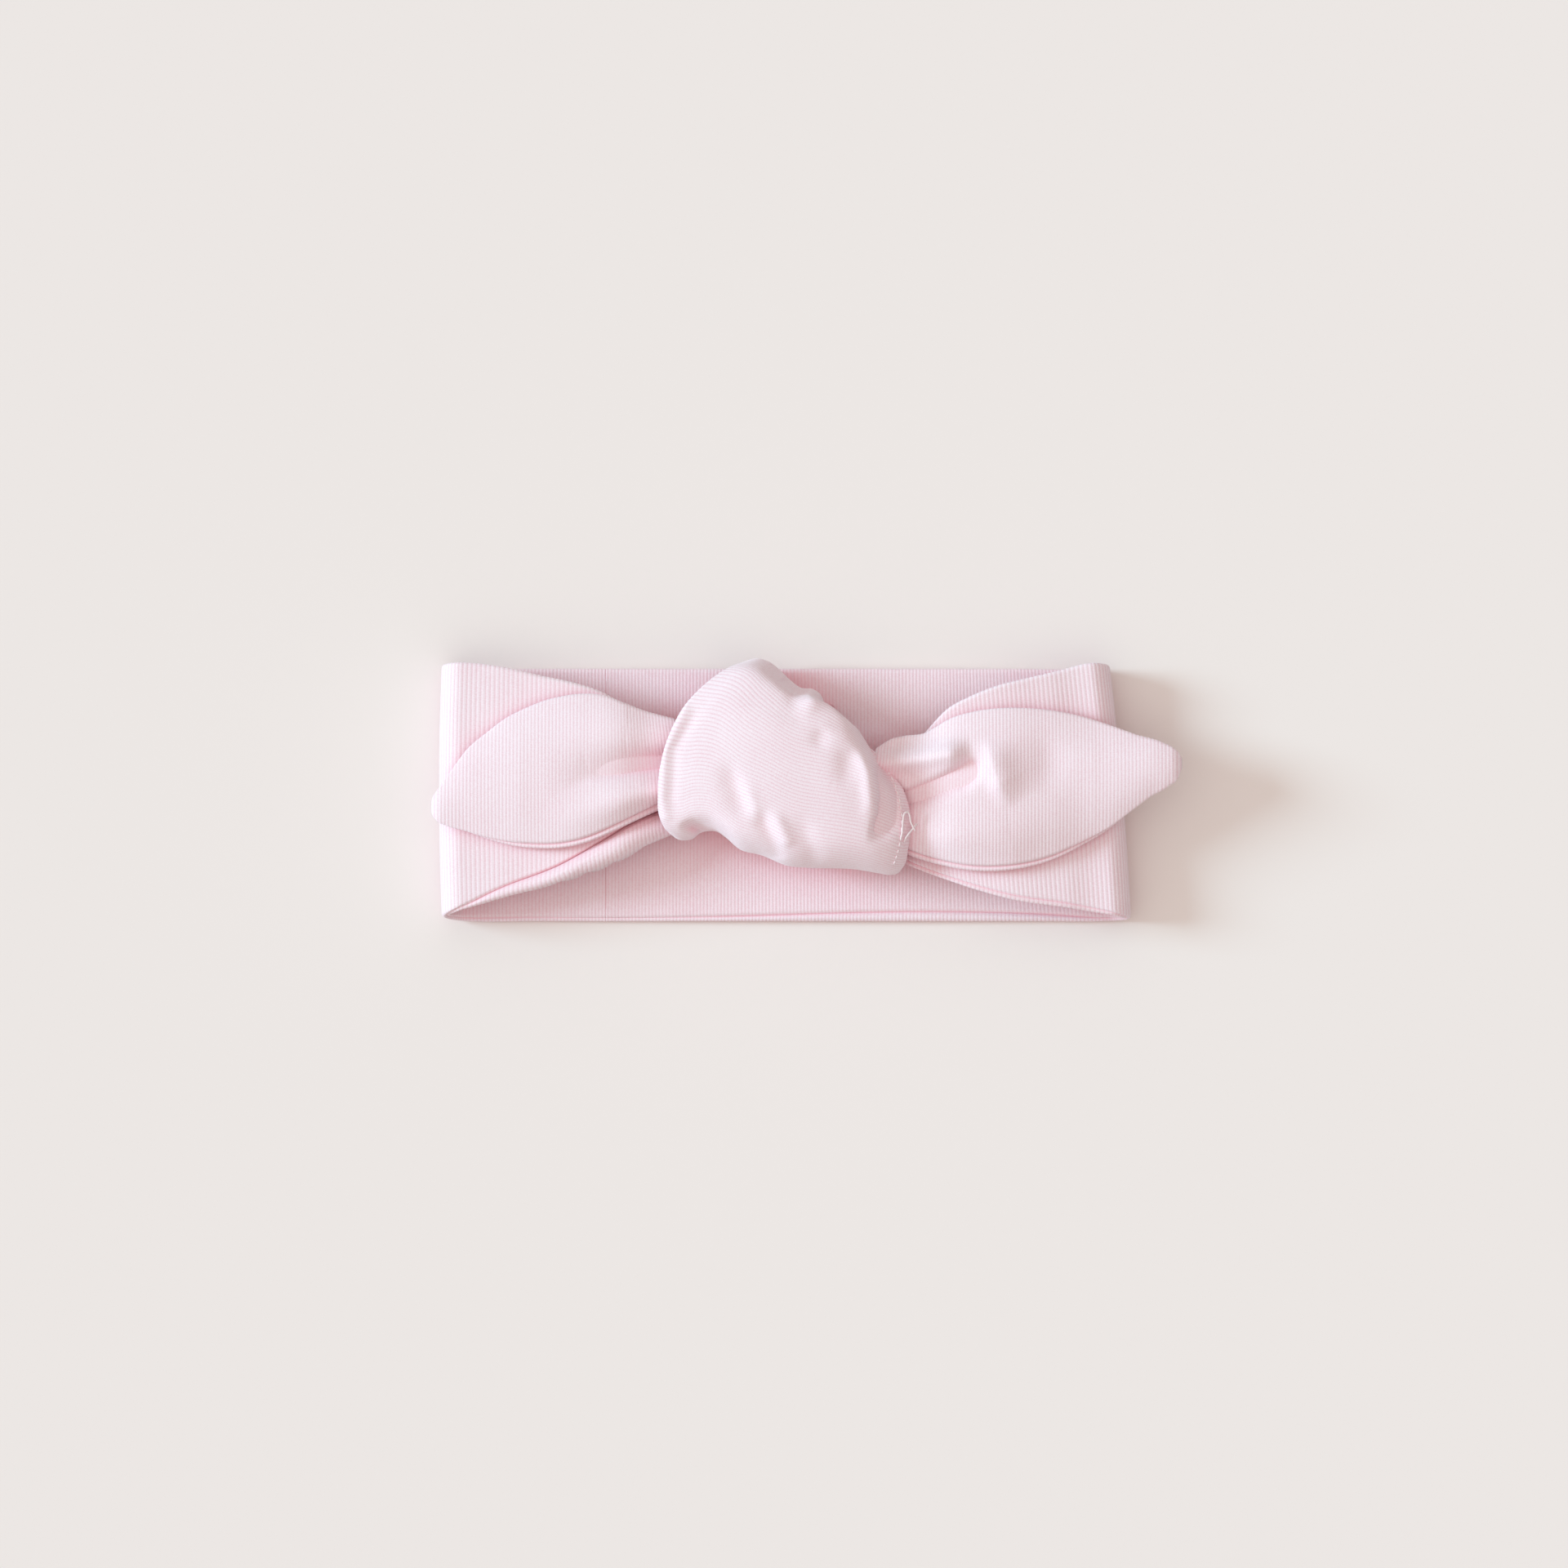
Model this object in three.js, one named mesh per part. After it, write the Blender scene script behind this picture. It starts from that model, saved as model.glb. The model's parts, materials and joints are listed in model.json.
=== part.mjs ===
// A knotted-bow headband, sewn from rib jersey, lying flat with its bow up.
//
// One long strip of two plies is turned right side out, closed into a loop by a join seam in the
// back, and tied in an overhand knot at the front, so that its two leaf-shaped ends stand out of
// the knot as tails. The strip is divided here where it changes its work: the back, the two folds,
// the two wings that run to the knot, the wrap over the knot, the gathered strands inside it, and
// the tails. Each stretch has an outer ply, an inner ply and the two seam allowances between them.
//
// Millimetres. +Z is up, +X is to the wearer's left of the bow, +Y is towards the crown.

import * as THREE from 'three';

// ---------------------------------------------------------------------------------------------
// Driving dimensions
// ---------------------------------------------------------------------------------------------

// Fabric and seams
const PLY = 0.9; // one ply of rib jersey
const CLEAR = 0.3; // gap between neighbouring pieces
const SEAM_THICK = 0.7; // pressed seam allowance
const SEAM_WIDTH = 3.6; // width of the seam allowance
const SEAM_INSET = 1.4; // strip's edge to the seam allowance
const SEAM_EASE = 1.5; // distance over which the inner ply comes back down
const EDGE_SHARE = 0.49; // most of a narrow strip's width that one seamed edge may take
const JOIN_SEAM_WIDTH = 1; // the ridge of the seam that closes the loop

// Band
const BAND_HALF = 31.3; // half of the finished strip's width
const BACK_CENTRE_Y = -1.1; // the back lies a little lower than the folds
const LEFT_FOLD_X = -90; // outermost line of the left fold
const RIGHT_FOLD_X = 77.6; // outermost line of the right fold, at mid width
const RIGHT_FOLD_SLANT = -0.085; // X per unit of Y along the right fold
const FOLD_RADIUS = 6; // outside radius of each fold
const JOIN_SEAM_X = -49.6; // the seam that closes the loop

// Knot
const KNOT_RISE = 22; // crest above the knot's underside
const LEFT_RIM_ROOM = 2.2; // spare height under the rim, over the strips that pass through it
const RIGHT_RIM_ROOM = 0.6;
const KNOT_OVERHANG = 2.3; // the wrap turns over the band's top edge this far out
const KNOT_TOP_RIGHT = [4, 20]; // where the wrap turns over the top, right rim
const KNOT_LOW_LEFT = [-30, -11.5]; // where the wrap turns under the bottom, left rim
const KNOT_LOW_RIGHT = [24, -19.5]; // the same at the right rim
const LEFT_RIM_BULGE = [-14, -2]; // how far the left rim swells outwards at its middle
const RIGHT_RIM_BULGE = [9.5, 2];
const LOW_SAG = [0, -3.5]; // the bottom turn hangs lower at mid width
const RIGHT_FOOT_REACH = 2.4; // the right rim's foot stands out beyond its middle
const RIM_COVER = 2.2; // how far a wing runs in under the rim

// Tails
const HINGE_STANDOFF = 2.4; // knot rim to the line along which a tail folds up
const LEFT_TAIL_LENGTH = 54.5; // from that line to the tip
const RIGHT_TAIL_LENGTH = 64.1;
const LEFT_TIP_Y = -4;
const RIGHT_TIP_Y = 6.4;
const TAIL_LOFT = 1.6; // how far a tail's middle floats over the wing
const TAIL_CROWN = 1.8; // height of a tail's middle over its edges
const TIP_WIDTH = 3.4; // blunt width where the two edges of a leaf meet
const SEAM_END = 0.93; // the seam allowances are trimmed short of the tip

// Thread
const THREAD_RADIUS = 0.35;

// ---------------------------------------------------------------------------------------------
// Worked-out values
// ---------------------------------------------------------------------------------------------

const SEAM_RISE = SEAM_THICK + CLEAR;
const EDGE_THICK = 2 * PLY + CLEAR + SEAM_RISE; // the strip where a seam allowance lies in it
const LAYER = EDGE_THICK + CLEAR; // one strip lying on another
const KNOT_BASE = LAYER; // the knot lies on the back
const LEFT_RIM_RISE = 4 * LAYER + LEFT_RIM_ROOM; // two strips pass between the wrap's two sides
const RIGHT_RIM_RISE = 4 * LAYER + RIGHT_RIM_ROOM;
const WING_ROOT_TOP = 2 * LAYER + EDGE_THICK; // the wings run in over the wrap's underside
const LOW_STRAND_Z = 2 * LAYER + EDGE_THICK / 2;
const HIGH_STRAND_Z = 3 * LAYER + EDGE_THICK / 2;

const BACK_LOW_Y = BACK_CENTRE_Y - BAND_HALF;
const BACK_HIGH_Y = BACK_CENTRE_Y + BAND_HALF;
const KNOT_TOP_LEFT = [-13, BACK_HIGH_Y + KNOT_OVERHANG]; // top turn at the left rim
const LEFT_ARC_X = LEFT_FOLD_X + FOLD_RADIUS;
const RIGHT_ARC_X = RIGHT_FOLD_X - FOLD_RADIUS;
const LEFT_RIM_X = rimMiddle(KNOT_TOP_LEFT, KNOT_LOW_LEFT, LEFT_RIM_BULGE);
const RIGHT_RIM_X = rimMiddle(KNOT_TOP_RIGHT, KNOT_LOW_RIGHT, RIGHT_RIM_BULGE) + RIGHT_FOOT_REACH;
const LEFT_HINGE_X = LEFT_RIM_X - HINGE_STANDOFF;
const RIGHT_HINGE_X = RIGHT_RIM_X + HINGE_STANDOFF;
const LEFT_MOUTH_X = LEFT_RIM_X + RIM_COVER; // where the left wing ends inside the rim
const RIGHT_MOUTH_X = RIGHT_RIM_X - RIM_COVER;

function rimMiddle(top, low, bulge) {
  return (top[0] + low[0]) / 2 + bulge[0];
}

function mix(a, b, t) {
  return a + (b - a) * t;
}

function clamp01(t) {
  return Math.min(1, Math.max(0, t));
}

// ---------------------------------------------------------------------------------------------
// Closed solids from rings and from surfaces
// ---------------------------------------------------------------------------------------------

// Skins a row of rings, each an upper row of points followed by the lower row in reverse, and
// closes both ends. Diagonals lean the same way on both rows, so that nested plies stay nested.
function skin(rings) {
  const ringSize = rings[0].length;
  const half = ringSize / 2;
  const positions = rings.flat().flatMap((p) => [p.x, p.y, p.z]);
  const faces = [];
  for (let r = 0; r + 1 < rings.length; r += 1) {
    for (let i = 0; i < ringSize; i += 1) {
      const a = r * ringSize + i;
      const b = r * ringSize + ((i + 1) % ringSize);
      const c = a + ringSize;
      const d = b + ringSize;
      if (i < half) faces.push(a, b, d, a, d, c);
      else faces.push(a, b, c, b, d, c);
    }
  }
  const last = (rings.length - 1) * ringSize;
  for (let i = 0; i + 1 < half; i += 1) {
    const a = i;
    const b = i + 1;
    const c = ringSize - 2 - i;
    const d = ringSize - 1 - i;
    faces.push(a, c, b, a, d, c);
    faces.push(last + a, last + b, last + c, last + a, last + c, last + d);
  }
  return outwards(positions, faces);
}

function outwards(positions, faces) {
  const corner = (i) => new THREE.Vector3().fromArray(positions, 3 * i);
  let volume = 0;
  for (let t = 0; t < faces.length; t += 3) {
    volume += corner(faces[t]).dot(corner(faces[t + 1]).cross(corner(faces[t + 2])));
  }
  const ordered = volume > 0 ? faces : faces.slice().reverse();
  const geometry = new THREE.BufferGeometry();
  geometry.setAttribute('position', new THREE.Float32BufferAttribute(positions, 3));
  geometry.setIndex(ordered);
  geometry.computeVertexNormals();
  return geometry;
}

// A surface gives a point for u, along the strip, and f, across it from its low edge to its high
// edge. Its outer side is the side that d/du x d/df points to.
function normalAt(surface, u, f) {
  const step = 1e-3;
  const along = surface.point(u + step, f).sub(surface.point(u - step, f));
  const across = surface.point(u, f + step).sub(surface.point(u, f - step));
  return along.cross(across).normalize();
}

function ruled(low, high, crown = () => 0) {
  return {
    point(u, f) {
      const p = low(u).lerp(high(u), f);
      p.z += crown(u) * 4 * f * (1 - f);
      return p;
    },
    width: (u) => low(u).distanceTo(high(u)),
  };
}

function endForEnd(surface) {
  return {
    point: (u, f) => surface.point(1 - u, f),
    width: (u) => surface.width(1 - u),
  };
}

function sideForSide(surface) {
  return {
    point: (u, f) => surface.point(u, 1 - f),
    width: (u) => surface.width(u),
  };
}

// A slab that follows a surface. Each mark across the strip has its share of the width and the
// two depths below the outer face between which the slab lies.
function slab(surface, stations, marksAt) {
  const rings = stations.map((u) => {
    const upper = [];
    const lower = [];
    for (const mark of marksAt(surface.width(u))) {
      const inwards = normalAt(surface, u, mark.f).negate();
      const p = surface.point(u, mark.f);
      upper.push(p.clone().addScaledVector(inwards, mark.from));
      lower.push(p.clone().addScaledVector(inwards, mark.to));
    }
    return [...upper, ...lower.reverse()];
  });
  return skin(rings);
}

function edgeScale(width) {
  const edge = SEAM_INSET + SEAM_WIDTH + CLEAR + SEAM_EASE;
  return Math.min(1, (EDGE_SHARE * width) / edge);
}

// Marks of a ply. Its upper depth depends on the room that the seam allowance takes beside it, and
// a crowned strip has further marks across its middle.
function plyMarks(upperDepth, middleMarks) {
  return (width) => {
    const scale = edgeScale(width) / width;
    const edge = [
      [0, 0],
      [SEAM_INSET - CLEAR, SEAM_RISE],
      [SEAM_INSET + SEAM_WIDTH + CLEAR, SEAM_RISE],
      [SEAM_INSET + SEAM_WIDTH + CLEAR + SEAM_EASE, 0],
    ];
    const low = edge.map(([d, rise]) => ({ f: d * scale, rise }));
    const high = low.map(({ f, rise }) => ({ f: 1 - f, rise })).reverse();
    const inner = low.at(-1).f;
    const middle = Array.from({ length: middleMarks }, (_, i) => {
      const f = mix(inner, 1 - inner, (i + 1) / (middleMarks + 1));
      return { f, rise: 0 };
    });
    return [...low, ...middle, ...high].map(({ f, rise }) => {
      const from = upperDepth(rise);
      return { f, from, to: from + PLY };
    });
  };
}

const outerDepth = () => 0;
const innerDepth = (rise) => PLY + CLEAR + rise;

function seamMarks(side) {
  return (width) => {
    const scale = edgeScale(width) / width;
    const from = PLY + CLEAR;
    const to = from + SEAM_THICK;
    const near = SEAM_INSET * scale;
    const far = (SEAM_INSET + SEAM_WIDTH) * scale;
    const fs = side === 'low' ? [near, far] : [1 - far, 1 - near];
    return fs.map((f) => ({ f, from, to }));
  };
}

function evenly(count, from, to) {
  return Array.from({ length: count }, (_, i) => mix(from, to, i / (count - 1)));
}

// The four pieces of one stretch of strip: two plies, and the seam allowances along the edges
// where f is 0 and where f is 1.
function stretch(surface, { count, trim = 0, middleMarks = 0, seamEnd = 1 }) {
  const stations = evenly(count, trim, 1 - trim);
  const seamStations = stations.filter((u) => u <= seamEnd);
  return {
    outerPly: slab(surface, stations, plyMarks(outerDepth, middleMarks)),
    innerPly: slab(surface, stations, plyMarks(innerDepth, middleMarks)),
    lowSeam: slab(surface, seamStations, seamMarks('low')),
    highSeam: slab(surface, seamStations, seamMarks('high')),
  };
}

// A smooth edge through points [x, y], with a height that depends on x.
function edgeCurve(points, heightAt) {
  const curve = new THREE.CatmullRomCurve3(
    points.map(([x, y]) => new THREE.Vector3(x, y, 0)),
    false,
    'centripetal',
  );
  return (u) => {
    const p = curve.getPoint(clamp01(u));
    p.z = heightAt(p.x);
    return p;
  };
}

// ---------------------------------------------------------------------------------------------
// Back and folds
// ---------------------------------------------------------------------------------------------

function rightFoldShift(y) {
  return RIGHT_FOLD_SLANT * y;
}

function backSurface(startX, endX) {
  const edge = (y) => (u) => new THREE.Vector3(mix(startX(y), endX(y), u), y, 0);
  return ruled(edge(BACK_LOW_Y), edge(BACK_HIGH_Y));
}

// Half a turn around an axis along Y, from the back (angle 0) up to the wing (angle pi).
function foldSurface(side, axisX, backY, wingY) {
  const edge = (i) => (u) => {
    const angle = Math.PI * u;
    const y = mix(backY[i], wingY[i], u);
    const x = axisX(y) + side * FOLD_RADIUS * Math.sin(angle);
    return new THREE.Vector3(x, y, FOLD_RADIUS * (1 - Math.cos(angle)));
  };
  const surface = ruled(edge(0), edge(1));
  // The strip runs up around the left fold and down around the right one.
  return side < 0 ? surface : endForEnd(surface);
}

// Height of the wings' outer face: level with the folds outside, and down to the knot's mouths.
function wingTop(x) {
  const run = x < 0
    ? (x - LEFT_ARC_X) / (LEFT_MOUTH_X - LEFT_ARC_X)
    : (x - RIGHT_ARC_X) / (RIGHT_MOUTH_X - RIGHT_ARC_X);
  return mix(2 * FOLD_RADIUS, WING_ROOT_TOP, clamp01(run));
}

// A wing's edge from its fold to the knot. Each row is [share of the way, share of half width].
function wingEdge(foldX, mouthX, rows, mouthY) {
  const points = rows.map(([way, share]) => [mix(foldX, mouthX, way), share * BAND_HALF]);
  return [...points, [mouthX, mouthY]];
}

const LEFT_WING_Y = [-0.945 * BAND_HALF, 1.0 * BAND_HALF];
const RIGHT_WING_Y = [-0.965 * BAND_HALF, 1.0 * BAND_HALF];

const leftWingLow = wingEdge(
  LEFT_ARC_X, LEFT_MOUTH_X, [[0, -0.945], [0.25, -0.81], [0.5, -0.69], [0.78, -0.52]], -8.6,
);
const leftWingHigh = wingEdge(
  LEFT_ARC_X, LEFT_MOUTH_X, [[0, 1.0], [0.25, 0.96], [0.5, 0.86], [0.78, 0.68]], 13,
);
const rightWingLow = wingEdge(
  RIGHT_ARC_X + rightFoldShift(RIGHT_WING_Y[0]), RIGHT_MOUTH_X,
  [[0, -0.965], [0.25, -0.91], [0.5, -0.82], [0.78, -0.68]], -12.4,
);
const rightWingHigh = wingEdge(
  RIGHT_ARC_X + rightFoldShift(RIGHT_WING_Y[1]), RIGHT_MOUTH_X,
  [[0, 1.0], [0.25, 0.91], [0.5, 0.82], [0.78, 0.65]], 9,
);

// ---------------------------------------------------------------------------------------------
// Knot
// ---------------------------------------------------------------------------------------------

// Section of the wrap: [share of the way from the top turn to the bottom turn, share of its rise].
const wrapSection = new THREE.CatmullRomCurve3(
  [
    [0.38, 0.0], [0.22, 0.0], [0.07, 0.04], [0.0, 0.2], [0.03, 0.46], [0.13, 0.76], [0.3, 0.95],
    [0.5, 1.0], [0.7, 0.95], [0.87, 0.76], [0.97, 0.46], [1.0, 0.2], [0.93, 0.04], [0.78, 0.0],
    [0.62, 0.0],
  ].map(([way, rise]) => new THREE.Vector3(way, rise, 0)),
  false,
  'centripetal',
);

function wrapRise(f) {
  const rim = mix(LEFT_RIM_RISE, RIGHT_RIM_RISE, f);
  return mix(rim, KNOT_RISE, Math.sin(Math.PI * clamp01(f)) ** 0.8);
}

// f runs from the left rim to the right rim.
const wrapSurface = {
  point(u, f) {
    const { x: way, y: rise } = wrapSection.getPoint(clamp01(u));
    const swell = 4 * way * (1 - way);
    const sag = way * way * 4 * f * (1 - f);
    const plan = [0, 1].map((axis) => {
      const top = mix(KNOT_TOP_LEFT[axis], KNOT_TOP_RIGHT[axis], f);
      const low = mix(KNOT_LOW_LEFT[axis], KNOT_LOW_RIGHT[axis], f);
      const bulge = mix(LEFT_RIM_BULGE[axis], RIGHT_RIM_BULGE[axis], f);
      return mix(top, low, way) + bulge * swell + LOW_SAG[axis] * sag;
    });
    return new THREE.Vector3(plan[0], plan[1], KNOT_BASE + rise * wrapRise(f));
  },
  width(u) {
    return this.point(u, 0).distanceTo(this.point(u, 1));
  },
};

// A gathered strand: elliptical sections, each [x, y, z, breadth, height], in planes across X.
function strand(sections) {
  const sides = 12;
  const centres = sections.map(([x, y, z]) => new THREE.Vector3(x, y, z));
  const sizes = sections.map(([, , , breadth, height]) => new THREE.Vector3(breadth, height, 0));
  const centreLine = new THREE.CatmullRomCurve3(centres, false, 'centripetal');
  const sizeLine = new THREE.CatmullRomCurve3(sizes, false, 'centripetal');
  const rings = evenly(2 * sections.length - 1, 0, 1).map((u) => {
    const centre = centreLine.getPoint(u);
    const size = sizeLine.getPoint(u);
    return Array.from({ length: sides }, (_, i) => {
      const angle = (2 * Math.PI * (i + 0.5)) / sides;
      const y = centre.y + (size.x / 2) * Math.cos(angle);
      const z = centre.z + (size.y / 2) * Math.sin(angle);
      return new THREE.Vector3(centre.x, y, z);
    });
  });
  return skin(rings);
}

const MOUTH_HEIGHT = EDGE_THICK - CLEAR; // a strand flattened in the knot's mouth

// A strand's section inside the wrap, from its level and its share of the hollow's height at x.
function inKnot(x, y, level, breadth, fill) {
  const floor = KNOT_BASE + LAYER;
  const f = (x - LEFT_RIM_X) / (RIGHT_RIM_X - LEFT_RIM_X);
  const headroom = wrapRise(f) - 2 * LAYER;
  return [x, y, floor + level * headroom, breadth, fill * headroom];
}

// The left wing's strip runs low into the knot and comes out high, as the right tail's neck.
const leftStrand = strand([
  [LEFT_MOUTH_X + CLEAR, 2, LOW_STRAND_Z, 19, MOUTH_HEIGHT],
  inKnot(-22, 7, 0.16, 14, 0.28),
  inKnot(-9, 10, 0.3, 12, 0.49),
  inKnot(4, 8.5, 0.42, 11, 0.49),
  inKnot(14, 3, 0.62, 13, 0.36),
  [RIGHT_MOUTH_X, -1.5, HIGH_STRAND_Z, 19, MOUTH_HEIGHT],
  [RIGHT_HINGE_X - CLEAR, -1.5, HIGH_STRAND_Z, 27, MOUTH_HEIGHT],
]);

// The right wing's strip runs low into the knot, and its end comes out high, as the left neck.
const rightStrand = strand([
  [RIGHT_MOUTH_X - CLEAR, -3, LOW_STRAND_Z, 17, MOUTH_HEIGHT],
  inKnot(14, -6, 0.15, 13, 0.27),
  inKnot(4, -7, 0.32, 11, 0.49),
  inKnot(-9, -5.5, 0.41, 11, 0.49),
  inKnot(-22, 1.5, 0.6, 13, 0.33),
  [LEFT_MOUTH_X, 6.5, HIGH_STRAND_Z, 17, MOUTH_HEIGHT],
  [LEFT_HINGE_X + CLEAR, 7.5, HIGH_STRAND_Z, 22, MOUTH_HEIGHT],
]);

// ---------------------------------------------------------------------------------------------
// Tails
// ---------------------------------------------------------------------------------------------

// Height of a tail's outer face where it lies on its wing.
function tailTop(x) {
  return wingTop(x) + LAYER;
}

// A leaf between two edges that start at the hinge line. The rows are [share of its length, y].
function leafSurface(rootX, length, tipY, lowRows, highRows) {
  const edge = (rows, tipSide) => {
    const tip = [1, tipY + (tipSide * TIP_WIDTH) / 2];
    const flat = edgeCurve([...rows, tip].map(([way, y]) => [rootX + way * length, y]), tailTop);
    return (u) => {
      const p = flat(u);
      p.z += TAIL_LOFT * Math.sin(Math.PI * clamp01(u));
      return p;
    };
  };
  const crown = (u) => TAIL_CROWN * Math.sin(Math.PI * clamp01(u));
  return ruled(edge(lowRows, -1), edge(highRows, 1), crown);
}

const leftLeafHigh = [[0, 19.4], [0.22, 23.7], [0.42, 23.5], [0.64, 18.8], [0.84, 10.1], [0.965, 0.6]];
const leftLeafLow = [[0, -5.2], [0.16, -10], [0.36, -14], [0.58, -14.1], [0.77, -11.8], [0.925, -8.9]];
const rightLeafHigh = [[0, 14.6], [0.15, 19], [0.34, 20.8], [0.53, 19.7], [0.73, 16.4], [0.92, 12.3]];
const rightLeafLow = [[0, -16.2], [0.13, -19.4], [0.28, -20], [0.46, -18], [0.65, -12.4], [0.84, -2.9]];

// ---------------------------------------------------------------------------------------------
// Threads
// ---------------------------------------------------------------------------------------------

function thread(points, radius = THREAD_RADIUS) {
  const sides = 6;
  const curve = new THREE.CatmullRomCurve3(points);
  const shape = new THREE.Shape(
    Array.from({ length: sides }, (_, i) => {
      const angle = (2 * Math.PI * i) / sides;
      return new THREE.Vector2(radius * Math.cos(angle), radius * Math.sin(angle));
    }),
  );
  return new THREE.ExtrudeGeometry(shape, {
    extrudePath: curve,
    steps: 2 * points.length,
    curveSegments: 1,
    bevelEnabled: false,
  });
}

function onWrap(u, f, height) {
  return wrapSurface.point(u, f).addScaledVector(normalAt(wrapSurface, u, f), height);
}

const STITCH_SHARE = 0.93; // the closing topstitch runs just inside the right rim
const STITCH_FROM = 0.55;
const STITCH_TO = 0.78;
const stitchHeight = CLEAR + THREAD_RADIUS;
const closingTopstitch = thread(
  evenly(12, STITCH_FROM, STITCH_TO).map((u) => onWrap(u, STITCH_SHARE, stitchHeight)),
);

// A loose thread end lies on the wrap from the topstitch out over the rim.
function looseEnd(u, drift) {
  const shares = evenly(4, STITCH_SHARE + 0.016, 0.985);
  return thread(
    shares.map((f, i) => onWrap(u + drift * i, f, stitchHeight + 0.2 * i)),
    0.7 * THREAD_RADIUS,
  );
}

// ---------------------------------------------------------------------------------------------
// Assembly
// ---------------------------------------------------------------------------------------------

const knit = (color) => new THREE.MeshStandardMaterial({ color, roughness: 0.92, metalness: 0 });
const outerKnit = knit(0xeed9df);
const innerKnit = knit(0xe4c6cc);
const seamKnit = knit(0xdcbcc3);
const sewingThread = knit(0xf6ecee);

const headband = new THREE.Group();

function add(name, geometry, material) {
  const mesh = new THREE.Mesh(geometry, material);
  mesh.name = name;
  headband.add(mesh);
}

// The last two names say which edge of the stretch each seam allowance lies along.
function addStretch(name, pieces, lowEdge = 'lower', highEdge = 'upper') {
  add(`${name}_outer_ply`, pieces.outerPly, outerKnit);
  add(`${name}_inner_ply`, pieces.innerPly, innerKnit);
  add(`${name}_${lowEdge}_seam`, pieces.lowSeam, seamKnit);
  add(`${name}_${highEdge}_seam`, pieces.highSeam, seamKnit);
}

// The back is cut at the join seam, whose ridge stands between its two halves.
const joinGap = JOIN_SEAM_WIDTH / 2 + CLEAR;
const endGap = CLEAR / 2;
const rightAxisX = (y) => RIGHT_ARC_X + rightFoldShift(y);
const backLeft = backSurface(() => JOIN_SEAM_X - joinGap, () => LEFT_ARC_X + endGap);
const backRight = backSurface((y) => rightAxisX(y) - endGap, () => JOIN_SEAM_X + joinGap);
addStretch('back_left', stretch(backLeft, { count: 2 }));
addStretch('back_right', stretch(backRight, { count: 2 }));

const joinSeam = new THREE.BoxGeometry(JOIN_SEAM_WIDTH, 2 * BAND_HALF, 2 * PLY + CLEAR);
joinSeam.translate(JOIN_SEAM_X, BACK_CENTRE_Y, PLY + CLEAR / 2);
add('back_join_seam', joinSeam, seamKnit);

const foldSteps = { count: 9, trim: endGap / (Math.PI * FOLD_RADIUS) };
const leftFold = foldSurface(-1, () => LEFT_ARC_X, [BACK_LOW_Y, BACK_HIGH_Y], LEFT_WING_Y);
const rightFold = foldSurface(1, rightAxisX, [BACK_LOW_Y, BACK_HIGH_Y], RIGHT_WING_Y);
addStretch('left_fold', stretch(leftFold, foldSteps));
addStretch('right_fold', stretch(rightFold, foldSteps));

// Both wings run towards +X, so the right one is taken from its mouth to its fold.
const leftWing = ruled(edgeCurve(leftWingLow, wingTop), edgeCurve(leftWingHigh, wingTop));
const rightWingIn = ruled(edgeCurve(rightWingLow, wingTop), edgeCurve(rightWingHigh, wingTop));
const wingSteps = { count: 8, trim: endGap / (JOIN_SEAM_X - LEFT_ARC_X) };
addStretch('left_wing', stretch(leftWing, wingSteps));
addStretch('right_wing', stretch(endForEnd(rightWingIn), wingSteps));

const wrapSteps = { count: 23, trim: 0.01, middleMarks: 4 };
addStretch('knot_wrap', stretch(wrapSurface, wrapSteps), 'left_rim', 'right_rim');
add('knot_left_strand', leftStrand, outerKnit);
add('knot_right_strand', rightStrand, outerKnit);

// The left leaf runs towards -X, so its high edge comes first for its outer side to be up.
const tailSteps = { count: 12, middleMarks: 2, seamEnd: SEAM_END };
const leftRootX = LEFT_HINGE_X - CLEAR;
const rightRootX = RIGHT_HINGE_X + CLEAR;
const leftLength = -(LEFT_TAIL_LENGTH - CLEAR);
const rightLength = RIGHT_TAIL_LENGTH - CLEAR;
const leftLeaf = sideForSide(
  leafSurface(leftRootX, leftLength, LEFT_TIP_Y, leftLeafLow, leftLeafHigh),
);
const rightLeaf = leafSurface(rightRootX, rightLength, RIGHT_TIP_Y, rightLeafLow, rightLeafHigh);
addStretch('left_tail', stretch(leftLeaf, tailSteps), 'upper', 'lower');
addStretch('right_tail', stretch(rightLeaf, tailSteps));

add('closing_topstitch', closingTopstitch, sewingThread);
add('loose_thread_end_upper', looseEnd(0.64, -0.006), sewingThread);
add('loose_thread_end_lower', looseEnd(0.66, 0.006), sewingThread);

export default headband;
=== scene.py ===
"""A pale pink knotted-bow headband of fine rib jersey, lying flat with its bow up.

The strip is a closed skin of two plies that meet at a seam along each edge. Each stretch of it is
a base surface, base(t, f): t is millimetres along the strip and f runs from 0 to 1 across it. The
skin goes round that surface, and ribs, seam grooves, rolled lips and creases stand on it.
"""

import json
import math

import bpy
import numpy as np
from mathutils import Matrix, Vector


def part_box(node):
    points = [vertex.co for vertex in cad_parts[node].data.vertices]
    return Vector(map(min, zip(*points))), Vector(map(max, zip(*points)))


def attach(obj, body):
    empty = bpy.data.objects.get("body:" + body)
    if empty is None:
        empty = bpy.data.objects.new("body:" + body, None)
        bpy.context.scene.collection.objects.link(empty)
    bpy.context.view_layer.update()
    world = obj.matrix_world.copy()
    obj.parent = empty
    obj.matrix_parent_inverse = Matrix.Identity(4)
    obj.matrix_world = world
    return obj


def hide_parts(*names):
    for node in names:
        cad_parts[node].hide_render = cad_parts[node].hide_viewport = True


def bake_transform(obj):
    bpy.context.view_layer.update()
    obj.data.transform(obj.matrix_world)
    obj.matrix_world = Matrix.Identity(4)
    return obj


MM = 0.001
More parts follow.
